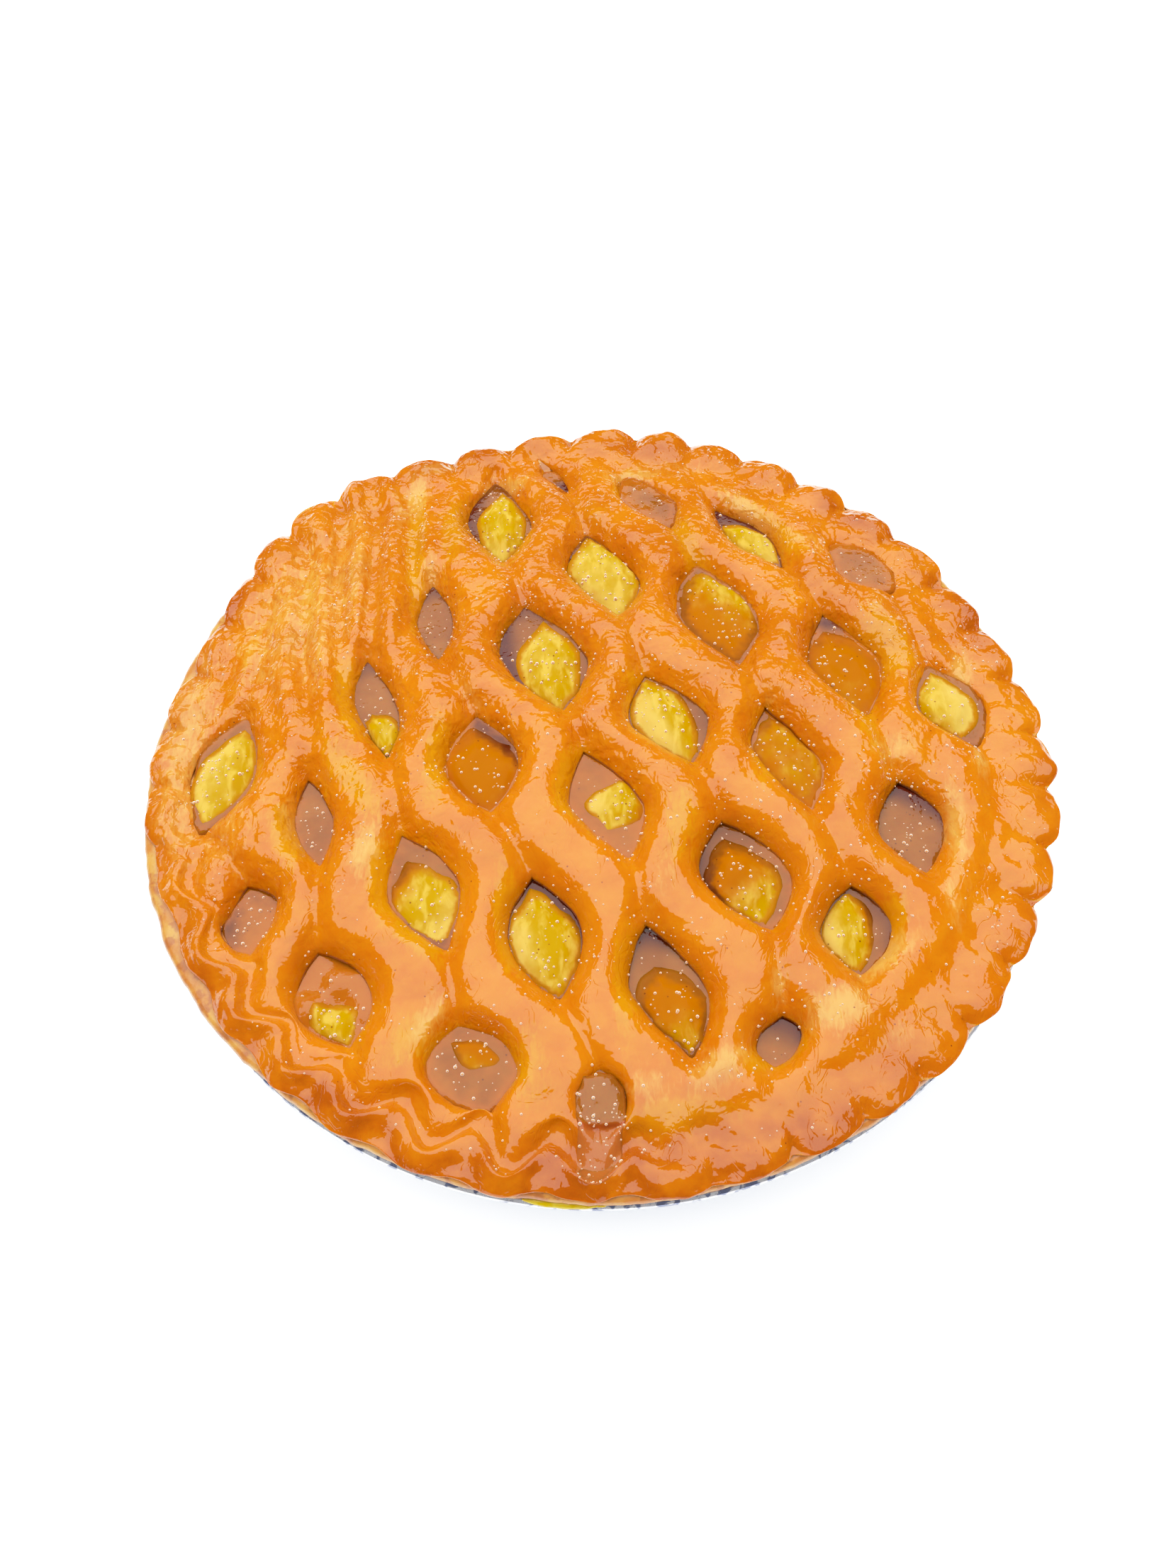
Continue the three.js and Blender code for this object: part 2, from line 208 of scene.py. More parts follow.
world = bpy.data.worlds.new("white room")
world.use_nodes = True
room = world.node_tree.nodes["Background"]
room.inputs["Color"].default_value = ROOM_TINT
ray = add(world.node_tree, "ShaderNodeLightPath").outputs["Is Glossy Ray"]
strength = add(world.node_tree, "ShaderNodeMapRange", {
    "Value": ray, "To Min": ROOM_LIGHT, "To Max": ROOM_MIRRORED})
world.node_tree.links.new(strength.outputs["Result"], room.inputs["Strength"])
bpy.context.scene.world = world

view = bpy.context.scene.view_settings
view.view_transform = "Standard"
view.use_curve_mapping = True
FILM_WHITE = FILM[-1][0]
view.curve_mapping.white_level = [FILM_WHITE] * 3
film = view.curve_mapping.curves[3]
for light, shown in FILM[1:-1]:
    film.points.new(light / FILM_WHITE, shown)
view.curve_mapping.update()
print("softbox:", round(lamp.energy, 1), "W; film white at", FILM_WHITE)

# %% [markdown]
# ## The paper
#
# A plain sheet of white backdrop paper, far wider than the view. It is matt, and it shines a
# little itself, as paper on a light table does.

# %% The paper
FLOOR_R, FLOOR_SIDES = 3000, 64
paper = bpy.data.materials.new("white backdrop paper")
paper.use_nodes = True
for key, value in {"Base Color": linear("#fafafa"), "Roughness": 0.8, "Emission Color": (0.9, 0.94, 1, 1),
                   "Emission Strength": 0.35}.items():
    paper.node_tree.nodes["Principled BSDF"].inputs[key].default_value = value
corners = np.linspace(0, 2 * math.pi, FLOOR_SIDES + 1)[:-1]
ring = [(FLOOR_R * math.cos(a), FLOOR_R * math.sin(a), 0) for a in corners]
floor = make_piece("floor", ring, [range(FLOOR_SIDES)], paper)

# %% [markdown]
# ## The sizes of the pie
#
# These are the driving sizes of the CAD model, repeated so that every dressed piece lands on
# its solid. The slits stand in slanting rows, and each is nudged, as on the real sheet of dough.
# A slit has a length, a width, a turn, and a skew that makes it a leaning diamond.

# %% Sizes of the tin and the lid
CROWN_Z, CROWN_DROP, CROWN_R = 40.5, 9.5, 92  # top of the dome, its drop and where that ends
LID_T = 5.3  # thickness of the lid
GAP = 0.3  # stands in for the bond between two pieces
FILLING_DEPTH = LID_T + GAP  # from the lid's top down to the filling
CRIMPS = 40
LEDGE_Z, LEDGE_R = 27.9, 90.4  # the bottom crust's ledge, on which the lid rests
SEAT_Z = LEDGE_Z + GAP
SHOW_AZ, SHOW_HALF, SHOW_OUT = 200, 42, 1.6  # where the bottom crust stands out, and by how much
TIN_BASE_R = 74
# The lid's outline is out of round: waves in one turn, size, phase.
OUTLINE_WAVES = [(2, 0.4, 3.6), (3, 0.7, 2.0), (5, 0.8, 2.7), (6, 0.7, 0.2), (7, 0.5, 4.1), (8, 0.6, 1.8)]

# %% The slits
# The first slit of the lattice, the step to the next column and the step to the next row.
ORIGIN = np.array([-9.7, 89.5])
ALONG = np.array([26.5, -13.1])
DOWN = np.array([-13.6, -27.6])

# name, row, column, nudge x, nudge y, length, width, turn, skew, fullness of the ends
SLIT_ROWS = [
    ("tear", 0, 0, -0.5, -2.5, 13, 2, 124, 0.1, 1.7),
    ("a2", 0, 1, -3.2, -1.8, 17, 7.5, 124, 0.4, 1.7),
    ("a3", 0, 2, -5, 1, 24.5, 9, 128, 0.1, 1.7),
    ("a4", 0, 3, -5, 4, 16, 10.5, 134, 0, 1.9),
    ("b1", 1, 0, 0, 8, 28.5, 15, 96, 0.1, 1.6),
    ("b2", 1, 1, -1.2, 1.5, 27, 15.2, 106, 0.3, 1.7),
    ("b3", 1, 2, -1, 2, 30.5, 17.2, 106, 0.2, 1.8),
    ("b4", 1, 3, 1.5, 2, 29.5, 16.5, 105, 0.1, 1.5),
    ("b5", 1, 4, -1.8, 4, 21, 14.5, 112, 0.1, 1.7),
    ("c1", 2, 0, -0.5, 2.5, 23, 8, 97, 0, 1.7),
    ("c2", 2, 1, -1.5, 3.5, 31.5, 18.5, 107, 0.2, 1.7),
    ("c3", 2, 2, 0, -1, 25, 16.5, 113, 0.2, 1.6),
    ("c4", 2, 3, -0.5, 2.5, 27.5, 13, 108, 0.3, 1.6),
    ("c5", 2, 4, -1, 0, 22, 14.5, 100, -0.1, 1.8),
    ("d1", 3, 0, 1, 5.5, 28, 9, 104, 0.2, 1.6),
    ("d2", 3, 1, -1, 2, 24.5, 15.8, 99, 0, 1.8),
    ("d3", 3, 2, -0.5, 4.5, 27.5, 15, 110, 0.2, 1.5),
    ("d4", 3, 3, 2, 1, 26, 17.5, 110, 0.2, 1.9),
    ("d5", 3, 4, -2, 2.5, 19.5, 15, 91, -0.1, 1.8),
    ("e1", 4, -1, 7.5, 5, 28.5, 14, 76, 0, 1.8),
    ("e2", 4, 0, 2.5, 4.5, 21.5, 8, 102, 0, 1.7),
    ("e3", 4, 1, 1, -0.5, 28, 14.5, 111, 0, 1.6),
    ("e4", 4, 2, 0, 1.5, 27, 15, 102, 0, 1.8),
    ("e5", 4, 3, -1.5, 3, 28.5, 14.5, 108, 0.2, 1.6),
    ("e6", 4, 4, -6, 6, 10.5, 8, 77, -0.4, 2.2),
    ("f1", 5, 0, 4, 10, 15.5, 11.5, 96, -0.4, 1.8),
    ("f2", 5, 1, -3.2, 4.5, 21.5, 14.5, 112, 0.1, 2.2),
    ("f3", 5, 2, -0.8, 2, 17.5, 16, 110, 0.2, 2.3),
    ("f4", 5, 3, -1.5, 7.4, 11, 8, 93, 0, 2.4),
]
# Openings that are full to the brim: how much steeper their short walls are than elsewhere.
BRIM_FULL = {"f4": 2.5, "f3": 1.7, "a4": 1.8, "a2": 1.5, "e1": 1.3, "b5": 1.6}
# Slits that stayed shut on the plain shoulder: x, y, length, turn.
CREASES = [
    (-43, 59, 42, 91), (-53.5, 39.5, 30, 90), (-66, 18, 30, 99), (-63, 51, 27, 89),
    (-78.5, 22, 20, 79),
]


def crown(r):
    """Top of the lid where no slit and no crimp changes it."""
    return CROWN_Z - CROWN_DROP * (r / CROWN_R) ** 2


def show(azimuth):
    """1 in the direction in which the bottom crust shows most, and 0 away from it."""
    off = aside(azimuth, SHOW_AZ)
    return np.where(off < SHOW_HALF, np.cos(off / SHOW_HALF * math.pi / 2) ** 2, 0)


def lid_edge(azimuth):
    """How far the lid's edge is out of round, without its crimps."""
    waves = sum(size * np.sin(n * azimuth + phase) for n, size, phase in OUTLINE_WAVES)
    return waves - SHOW_OUT * show(azimuth)


# %% Outlines of the slits
def lens_outline(middle, length, width, axis, skew=0.0, fullness=2.0, per_side=28):
    """Closed leaf-shaped outline along the unit vector `axis`, counter-clockwise, in mm."""
    right = np.array([axis[1], -axis[0]])
    stops = -np.cos(np.linspace(0, math.pi, per_side + 1))[:-1]
    halves = []
    for side in (1, -1):
        t = side * stops
        widest = -side * skew * length / 2
        along = widest + t * (length / 2 - np.sign(t) * widest)
        across = side * width / 2 * (1 - np.abs(t) ** fullness)
        halves.append(middle + along[:, None] * axis + across[:, None] * right)
    return np.vstack(halves)


TORN = 0.35  # how far the cut edge strays from a clean line
slits = {}
for name, row, column, dx, dy, length, width, turn, skew, fullness in SLIT_ROWS:
    middle = ORIGIN + column * ALONG + row * DOWN + (dx, dy)
    axis = direction(turn)
    loop = lens_outline(middle, length, width, axis, skew, fullness)
    loop = loop + TORN * stir(loop, 4.5, 51, 52)
    slits[name] = dict(cell=(row, column), middle=middle, length=length, axis=axis, loop=loop)
print(len(slits), "slits; the longest is", max(slit["length"] for slit in slits.values()), "mm")

# %% [markdown]
# ## How far a point is from a slit
#
# All of the lid's relief follows from one question: how far is this point from the nearest
# opening, and from the nearest crease where a slit closed again? `loop_distance` answers it for
# one outline, by the nearest spot on each of its sides. `relief` asks it of every slit near the
# point.

# %% Distances
def segment_distance(points, a, b):
    """Distance to the line from a to b, and how far along it the nearest spot lies."""
    ab = b - a
    along = np.clip((points - a) @ ab / (ab @ ab), 0, 1)
    return np.linalg.norm(points - a - along[:, None] * ab, axis=1), along


def loop_distance(points, loop):
    """Distance to a closed outline, negative inside it."""
    ends = np.roll(loop, -1, axis=0)
    sides = ends - loop
    gap = points[:, None] - loop
    along = np.clip((gap * sides).sum(2) / (sides * sides).sum(1), 0, 1)
    nearest = np.linalg.norm(gap - along[..., None] * sides, axis=2).min(1)
    x, y = points[:, :1], points[:, 1:]
    crosses = (loop[:, 1] > y) != (ends[:, 1] > y)
    at = loop[:, 0] + (y - loop[:, 1]) * sides[:, 0] / np.where(sides[:, 1] == 0, 1e-9, sides[:, 1])
    inside = (crosses & (x < at)).sum(1) % 2 == 1
    return np.where(inside, -nearest, nearest)


def beside(points, slit, margin):
    """Which points lie no further than `margin` mm from the circle round a slit."""
    return np.flatnonzero(np.linalg.norm(points - slit["middle"], axis=1) < slit["length"] / 2 + margin)


# %% [markdown]
# ## Creases between the slits
#
# The dough is pulled thin where one slit ends and the next in line begins, so a soft valley
# joins their tips. Where there is no next slit, the valley runs out after a few millimetres.

# %% Creases
TAIL = 8.0  # how far a valley goes on from a tip with no neighbour in line
CREASE_HALF = 4.5  # half the width of a crease
# Depth of a crease at its start, in its middle and at its end, 1 being the usual one.
JOINS, RUNS_OUT, STAYED_SHUT = (1.2, 0.7, 1.2), (1.2, 0.6, 0.0), (0.2, 0.7, 0.2)
FAR_OFF = 12.0  # distances to an opening are worked out up to here


def tip(slit, way):
    """The far end (way 1) or the near end (way -1) of a slit."""
    return slit["middle"] + way * slit["axis"] * slit["length"] / 2


def in_line(slit, step):
    """The slit that lies in line with this one, or None."""
    row, column = slit["cell"]
    return next((other for other in slits.values() if other["cell"] == (row + step, column + step)), None)


creases = []
for slit in slits.values():
    far_tip, near_tip, heir = tip(slit, 1), tip(slit, -1), in_line(slit, 1)
    out = near_tip - slit["middle"]
    tail = out / np.linalg.norm(out) * TAIL
    if heir:
        creases.append((near_tip, tip(heir, 1), JOINS))
    else:
        creases.append((near_tip, near_tip + tail, RUNS_OUT))
    if not in_line(slit, -1):
        creases.append((far_tip, far_tip - tail, RUNS_OUT))
for x, y, length, turn in CREASES:
    half = direction(turn) * length / 2
    creases.append(((x, y) - half, (x, y) + half, STAYED_SHUT))
print(len(creases), "creases")


def relief(points):
    """Distance to the nearest opening, negative inside, and crease from 0 to about 1."""
    points = np.asarray(points, float)
    gap = np.full(len(points), FAR_OFF)
    crease = np.zeros(len(points))
    for name, slit in slits.items():
        near = beside(points, slit, FAR_OFF)
        gap[near] = np.minimum(gap[near], BRIM_FULL.get(name, 1) * loop_distance(points[near], slit["loop"]))
    for start, end, depths in creases:
        reach = np.linalg.norm(end - start) / 2 + CREASE_HALF
        near = np.flatnonzero(np.linalg.norm(points - (start + end) / 2, axis=1) < reach)
        away, along = segment_distance(points[near], start, end)
        depth = np.interp(along, (0, 0.5, 1), depths)
        crease[near] = np.maximum(crease[near], depth * np.clip(1 - away / CREASE_HALF, 0, 1) ** 1.7)
    return gap, crease

# %% [markdown]
# ## The lid: how a flat sheet becomes puffed dough
#
# The lid is one sheet, so it is made as one sheet. A flat map of it is drawn first, with the
# openings cut out, and every point of the map is then lifted to its height. Over most of the
# lid that height is the crown of the pie, less a round-over beside each opening and a soft
# valley along each crease. Near the edge the map's radius is no longer a radius: it is the way
# round the rim, over its top, down its outside and back under.
#
# The baker's thumb left two kinds of rim. On the near left the sheet runs down into a zigzag
# gutter, with a thin rope of dough behind it. Everywhere else it is a flat band of overlapping
# petals. A table for each gives the stations of the way round: map radius, radius, swing in and
# out with the crimps, height, and height that follows the crimps. The two are blended by the
# direction that a point lies in.

# %% The way round the rim
ROPE_AZ, ROPE_HALF, ROPE_FADE = 236, 30, 26  # where the rope and gutter lie, and how they fade
# map radius, radius, swing, height, height that follows the crimps
ROPE = np.array([
    [80, 80.0, 0.0, crown(80), 0.0],
    [84, 84.0, 0.2, crown(84), 0.0],
    [86.5, 86.4, 1.2, crown(86.5), 0.0],
    [88.2, 88.0, 2.0, 31.0, 0.0],
    [91.6, 91.2, 2.4, 29.7, 0.1],
    [92.6, 92.1, 2.4, 30.0, 0.2],
    [94.3, 93.4, 2.3, 31.3, 0.5],
    [96.4, 95.2, 2.0, 31.5, 0.5],
    [98.8, 97.4, 1.6, 30.5, 0.3],
    [101, 98.9, 1.1, 29.4, 0.1],
    [104, 99.3, 0.7, 28.6, 0.0],
    [108, 94.6, 0.0, SEAT_Z, 0.0],
    [111, 91.0, 0.0, SEAT_Z, 0.0],
])
PETALS = np.array([
    [80, 80.0, 0.0, crown(80), 0.0],
    [84, 84.0, 0.0, crown(84) - 0.2, 0.0],
    [87.5, 87.5, 0.0, 30.9, 0.0],
    [90, 90.0, 0.1, 30.5, 0.1],
    [93, 93.0, 0.4, 30.5, 0.4],
    [96, 96.0, 0.8, 30.4, 0.8],
    [99, 98.7, 1.2, 29.8, 1.0],
    [101.5, 99.9, 1.3, 29.1, 0.7],
    [104.5, 99.3, 1.0, 28.6, 0.3],
    [108, 94.6, 0.0, SEAT_Z, 0.0],
    [111, 91.0, 0.0, SEAT_Z, 0.0],
])
RIM_START, RIM_END = 83, 108  # map radii


def curve(table, x):
    """Smooth curve through the rows of a table. The first column is the place."""
    knots, rows = table[:, 0], table[:, 1:]
    slope = np.gradient(rows, knots, axis=0)
    k = np.clip(np.searchsorted(knots, x) - 1, 0, len(knots) - 2)
    step = (knots[k + 1] - knots[k])[:, None]
    t = np.clip((x - knots[k])[:, None] / step, 0, 1)
    away, back = t * t * (3 - 2 * t), t * (1 - t)
    return (1 - away) * rows[k] + away * rows[k + 1] + step * back * ((1 - t) * slope[k] - t * slope[k + 1])


# %% The lid's surface
ROUND = 5.5  # width of the round-over beside an opening
SINK = 0.4  # how far the foot of the dough dips into the gel
FOOT_R = 88.4  # outside this radius the lid's underside comes down on the ledge
CREASE_DEEP = 2.1
SLUMP = 0.4  # how much lower the strips lie close to an opening
# Folds of slack dough on the plain shoulder: x, y, reach along, reach across, spacing, height.
FOLDS = (-60, 48, 46, 24, 8.5, 1.0)
# Two places at the near end, as azimuth, half width and amount: there the crimps swing wider,
# and there the rim was pressed in.
WIDE_SWING, PRESSED_IN = (-98, 14, 0.7), (-92, 8, 1.4)


def hump(azimuth, place):
    """A soft hump round the rim, from its azimuth, half width and height."""
    centre, half, tall = place
    return tall * np.exp(-(aside(azimuth, centre) / half) ** 2)


def lid_under(r):
    """Underside of the lid."""
    arch = crown(FOOT_R) - LID_T
    return np.where(r < FOOT_R, crown(r) - LID_T, np.minimum(SEAT_Z, arch + (r - FOOT_R) * 1.5))


def crimp_beats(map_r, azimuth, around):
    """Two rhythms round the rim: the swing of the rope's zigzag, and the rise of the petals."""
    crimp = CRIMPS * azimuth + 0.9 * ripple(around, 30, 31) + 0.05 * (map_r - 90)
    swing = np.cos(0.9 * crimp) * (1 + hump(azimuth, WIDE_SWING) * (1 - smooth(map_r, 93, 98)))
    force = 0.95 + 0.15 * np.cos(azimuth - 0.35) + 0.45 * ripple(around, 16, 32)
    leaning = crimp / 2 + 0.3 * np.cos(crimp) * np.cos(azimuth)
    petal = (np.abs(np.cos(leaning)) ** 0.7 - 0.65) * force
    return swing, petal


def puffed(spot, flat):
    """How far the dough of the dome rose: lumps of three sizes, and the folds of the shoulder."""
    puff = 0.5 * ripple(spot, 15, 1) + 0.28 * ripple(spot, 6, 2) + 0.13 * ripple(spot, 2.6, 3) - 0.3
    x, y, reach_y, reach_x, spacing, tall = FOLDS
    fold = np.cos(2 * math.pi * (flat[:, 0] + 0.12 * flat[:, 1] + 2 * ripple(flat, 22, 6)) / spacing)
    return puff + tall * fold * np.exp(-((flat[:, 0] - x) / reach_x) ** 2 - ((flat[:, 1] - y) / reach_y) ** 2)


def lid_points(flat, gap, crease):
    """Lifts points of the flat map to the lid's top. Each fade below runs from one map radius,
    or from one distance to an opening, to another.
    """
    map_r = np.hypot(flat[:, 0], flat[:, 1])
    azimuth = np.arctan2(flat[:, 1], flat[:, 0])
    around = 100 * np.column_stack([np.cos(azimuth), np.sin(azimuth)])
    swing, petal = crimp_beats(map_r, azimuth, around)
    rope = 1 - smooth(aside(azimuth, ROPE_AZ), ROPE_HALF, ROPE_HALF + ROPE_FADE)
    blended = rope[:, None] * curve(ROPE, map_r) + (1 - rope[:, None]) * curve(PETALS, map_r)
    base, sway, height, lift = blended.T
    beat = rope * swing + (1 - rope) * 2 * petal
    out = lid_edge(azimuth) * smooth(base, 88, 99) + 0.3 * ripple(around, 3.5, 33) * smooth(base, 92, 98)
    out = out - hump(azimuth, PRESSED_IN) * smooth(map_r, 93, 98)
    rim = smooth(map_r, RIM_START - 3, RIM_START) * np.maximum(smooth(gap, 0.5, 5), smooth(map_r, 92, 96))
    r = map_r + rim * (base + out + sway * beat - map_r)
    z = crown(map_r) + rim * (height + lift * beat - crown(map_r))
    spot = np.column_stack([flat, z])
    rough = 0.45 * ripple(spot, 5, 35) + 0.25 * ripple(spot, 2.2, 36)
    z = z + rough * smooth(map_r, 86, 91) * (1 - smooth(map_r, 101, 105))

    calm = smooth(gap, 0, 2.5) * (1 - smooth(map_r, 98, 103))
    z = z + calm * puffed(np.column_stack([flat, z]), flat)
    z = z - CREASE_DEEP * crease * smooth(gap, -0.5, 2) - SLUMP * (1 - smooth(gap, 3, 8))
    nearness = 1 - np.clip(gap / ROUND, 0, 1)
    round_over = 1 - (1 - nearness ** 2) ** 0.88
    z = z + (lid_under(r) - SINK - z) * round_over
    return np.column_stack([r * np.cos(azimuth), r * np.sin(azimuth), z])

# %% [markdown]
# ## Flat maps
#
# A puffed edge turns sharply close to an opening, so a map needs close rows of points there and
# can do with fewer on open dough. Constrained Delaunay triangulation joins any set of points
# with even triangles and keeps every outline as an edge. The helpers below lay the points, thin
# out those that crowd each other, and join them.

# %% Helpers for flat maps
def circle(r, count, turn=0.0):
    """Evenly spaced points on a circle. The turn is a share of one step."""
    a = (np.arange(count) + turn) / count * 2 * math.pi
    return np.column_stack([r * np.cos(a), r * np.sin(a)])


def hexagons(reach, step):
    """Points of a hexagonal grid inside a circle, stirred a little so that no row shows."""
    rows = []
    most = int(reach / step * 1.2)
    for j in range(-most, most):
        x = np.arange(-reach, reach, step) + (j % 2) * step / 2
        rows.append(np.column_stack([x, np.full(len(x), j * step * 0.866)]))
    grid = np.vstack(rows)
    grid = grid + 0.12 * step * stir(grid, 1.3, 8, 9)
    return grid[np.hypot(grid[:, 0], grid[:, 1]) < reach]


HOLE_REACH = 25  # no opening reaches further than this from its middle


def thin(points, size):
    """Keeps the first point laid in each square of that size."""
    _, first = np.unique(np.floor(points / size).astype(np.int64), axis=0, return_index=True)
    return points[np.sort(first)]


def triangulate(loops, loose):
    """Triangles over all points. The first loop is the outside, and the others cut holes.

    The points of the loops come first in the result, in their own order.
    """
    fixed = np.vstack(loops)
    edges, start = [], 0
    for loop in loops:
        count = len(loop)
        edges += [(start + k, start + (k + 1) % count) for k in range(count)]
        start += count
    everything = [Vector(p) for p in np.vstack([fixed, loose])]
    points, _, faces, came_from, *_ = delaunay_2d_cdt(everything, edges, [], 0, 1e-6)
    order = np.argsort([source[0] for source in came_from])
    place = np.empty(len(points), int)
    place[order] = np.arange(len(points))
    flat = np.array([tuple(p) for p in points])[order]
    faces = place[np.array(faces)]
    middles = flat[faces].mean(1)
    keep = np.ones(len(faces), bool)
    for loop in loops[1:]:
        near = np.flatnonzero(np.linalg.norm(middles - loop.mean(0), axis=1) < HOLE_REACH)
        keep[near[loop_distance(middles[near], loop) < 0]] = False
    return flat, faces[keep]


def outward(loop, away):
    """The outline moved outwards."""
    run = np.roll(loop, -1, axis=0) - np.roll(loop, 1, axis=0)
    normal = np.column_stack([run[:, 1], -run[:, 0]]) / np.linalg.norm(run, axis=1)[:, None]
    return loop + away * normal


# %% [markdown]
# ## The lid: its two sheets
#
# Rows of points are laid beside each outline, rings follow the rim, and a hexagonal grid fills
# the rest. The underside uses the same outlines with few points between. Its own points are
# lifted as the top's are at the rim, and lie flat under the dome. The two sheets share the
# points of the outlines, which closes the lid.

# %% The lid's mesh
GRID = 0.78  # mm from point to point on open dough
RIM_COUNT = 720  # points round the rim
CLEAR = 1.9  # rings and grid keep this far from an opening, where the rows are

openings = [slit["loop"] for slit in slits.values()]
outer = circle(RIM_END, RIM_COUNT)

beside_openings = []
for away in (0.25, 0.6, 1.05, 1.6):
    rows = np.vstack([outward(loop, away) for loop in openings])
    beside_openings.append(rows[relief(rows)[0] > away * 0.85])
grid = hexagons(RIM_START - 0.4, GRID)
grid = grid[relief(grid)[0] > CLEAR]
ring_radii = np.append(np.arange(RIM_START, 104.5, GRID), 106)
rings = np.vstack([circle(r, RIM_COUNT, 0.5 * (k % 2)) for k, r in enumerate(ring_radii)])
rings = rings[relief(rings)[0] > CLEAR]
loose = thin(np.vstack([*beside_openings, rings, grid]), GRID * 0.5)
top_flat, top_faces = triangulate([outer, *openings], loose)
top_gap, top_crease = relief(top_flat)
top = lid_points(top_flat, np.maximum(top_gap, 0), top_crease)

coarse = np.vstack([hexagons(86, 6), circle(FOOT_R, 120), circle(90.2, 120)])
coarse = coarse[relief(coarse)[0] > 1.5]
under_flat, under_faces = triangulate([outer, *openings], coarse)
under_gap, under_crease = relief(under_flat)
under = lid_points(under_flat, np.maximum(under_gap, 0), under_crease)
inner = (under_gap > 0.01) & (np.hypot(under_flat[:, 0], under_flat[:, 1]) < RIM_END - 1)
under[inner, :2] = under_flat[inner]
under[inner, 2] = lid_under(np.hypot(under[inner, 0], under[inner, 1]))

shared = len(outer) + sum(len(loop) for loop in openings)
index = np.arange(len(under))
index[shared:] += len(top) - shared
lid_all = np.vstack([top, under[shared:]])
lid_faces = np.vstack([top_faces, index[under_faces][:, ::-1]])
print("lid:", len(lid_all), "points,", len(lid_faces), "triangles,", shared, "shared")

# %% [markdown]
# ## Finishes: a few words for the shader nodes
#
# Every finish below is a Principled shader whose colour and bumps come from noise. Sizes are
# given in millimetres, like all else here. Values that stay the same all over a piece are set
# on the shader itself.

# %% Shader helpers
def finish(name, constants):
    """A Principled material: its tree, its shader and the piece's own coordinates."""
    material = bpy.data.materials.new(name)
    material.use_nodes = True
    tree = material.node_tree
    shader = tree.nodes["Principled BSDF"]
    for key, value in constants.items():
        shader.inputs[key].default_value = value
    spot = add(tree, "ShaderNodeTexCoord").outputs["Object"]
    return material, tree, shader, spot


def noise(tree, spot, size, detail=2.0, distortion=0.0, stretch=(1, 1, 1), turn=0.0, shift=0.0):
    """Noise from 0 to 1 with lumps of `size` mm, stretched and turned about the Z axis."""
    place = add(tree, "ShaderNodeMapping", {
        "Vector": spot, "Scale": [1 / (size * s * MM) for s in stretch],
        "Rotation": (0, 0, turn), "Location": (shift, shift, shift)})
    texture = add(tree, "ShaderNodeTexNoise", {
        "Vector": place.outputs[0], "Scale": 1.0, "Detail": detail, "Distortion": distortion})
    return texture.outputs["Fac"]


def span(tree, value, low, high, to_low=0.0, to_high=1.0):
    """Smooth step from one value to another."""
    ends = {"Value": value, "From Min": low, "From Max": high, "To Min": to_low, "To Max": to_high}
    return add(tree, "ShaderNodeMapRange", ends, interpolation_type="SMOOTHSTEP").outputs["Result"]


def blend(tree, share, first, second):
    """Colour that goes from the first to the second with the share."""
    return add(tree, "ShaderNodeMix", {0: share, 6: first, 7: second}, data_type="RGBA").outputs[2]


def sums(tree, operation, a, b):
    """Arithmetic on two values."""
    return add(tree, "ShaderNodeMath", {0: a, 1: b}, operation=operation).outputs[0]


def value_of(tree, name):
    """A value stored on the points of the piece."""
    return add(tree, "ShaderNodeAttribute", attribute_name=name).outputs["Fac"]


def bump(tree, height, depth, below=None):
    """Bumps `depth` mm high, on top of other bumps."""
    inputs = {"Height": height, "Distance": depth * MM, "Strength": 1.0}
    if below is not None:
        inputs["Normal"] = below
    return add(tree, "ShaderNodeBump", inputs).outputs["Normal"]


def spice(tree, spot, colour, spacing=2.6, size=0.16):
    """Ground spice: dark specks of `size` mm, one to each `spacing` mm, over a colour."""
    place = add(tree, "ShaderNodeVectorMath", {0: spot, 1: [1 / (spacing * MM)] * 3}, operation="MULTIPLY")
    cells = add(tree, "ShaderNodeTexVoronoi", {"Vector": place.outputs[0], "Scale": 1.0})
    speck = span(tree, cells.outputs["Distance"], size / spacing, 1.6 * size / spacing, 0.75, 0)
    return blend(tree, speck, colour, linear("#5a2a0a"))

# %% [markdown]
# ## Glazed pastry
#
# Pastry dough, egg-washed, baked and brushed with clear fruit glaze. The dough is deep orange
# where it caught the heat, brown on the tips of the crimps, golden where syrup soaked it beside
# the openings, and pale yellow where it stayed doughy. Each of those shades is a stored value,
# laid on as listed soft oval spots, and broken up by noise in the shader. The glaze is a coat
# with a mirror-like skin. It gives hard-edged reflections, and where it dried in fine wrinkles
# they turn ragged.

# %% Glazed pastry: its colour
STROKES = math.radians(-15)  # the way in which the brush and the rolling pin went
pastry, tree, shader, spot = finish("glazed pastry", {
    "Roughness": 0.5, "Coat Weight": 1.0, "Coat Roughness": 0.03, "Coat IOR": 1.46,
    "Specular IOR Level": 0.0, "Subsurface Weight": 0.2, "Subsurface Scale": 0.0015})
shader.inputs["Subsurface Radius"].default_value = (1.0, 0.45, 0.15)
streaks = noise(tree, spot, 1.6, 3, distortion=0.8, stretch=(0.6, 1.8, 1), turn=STROKES)

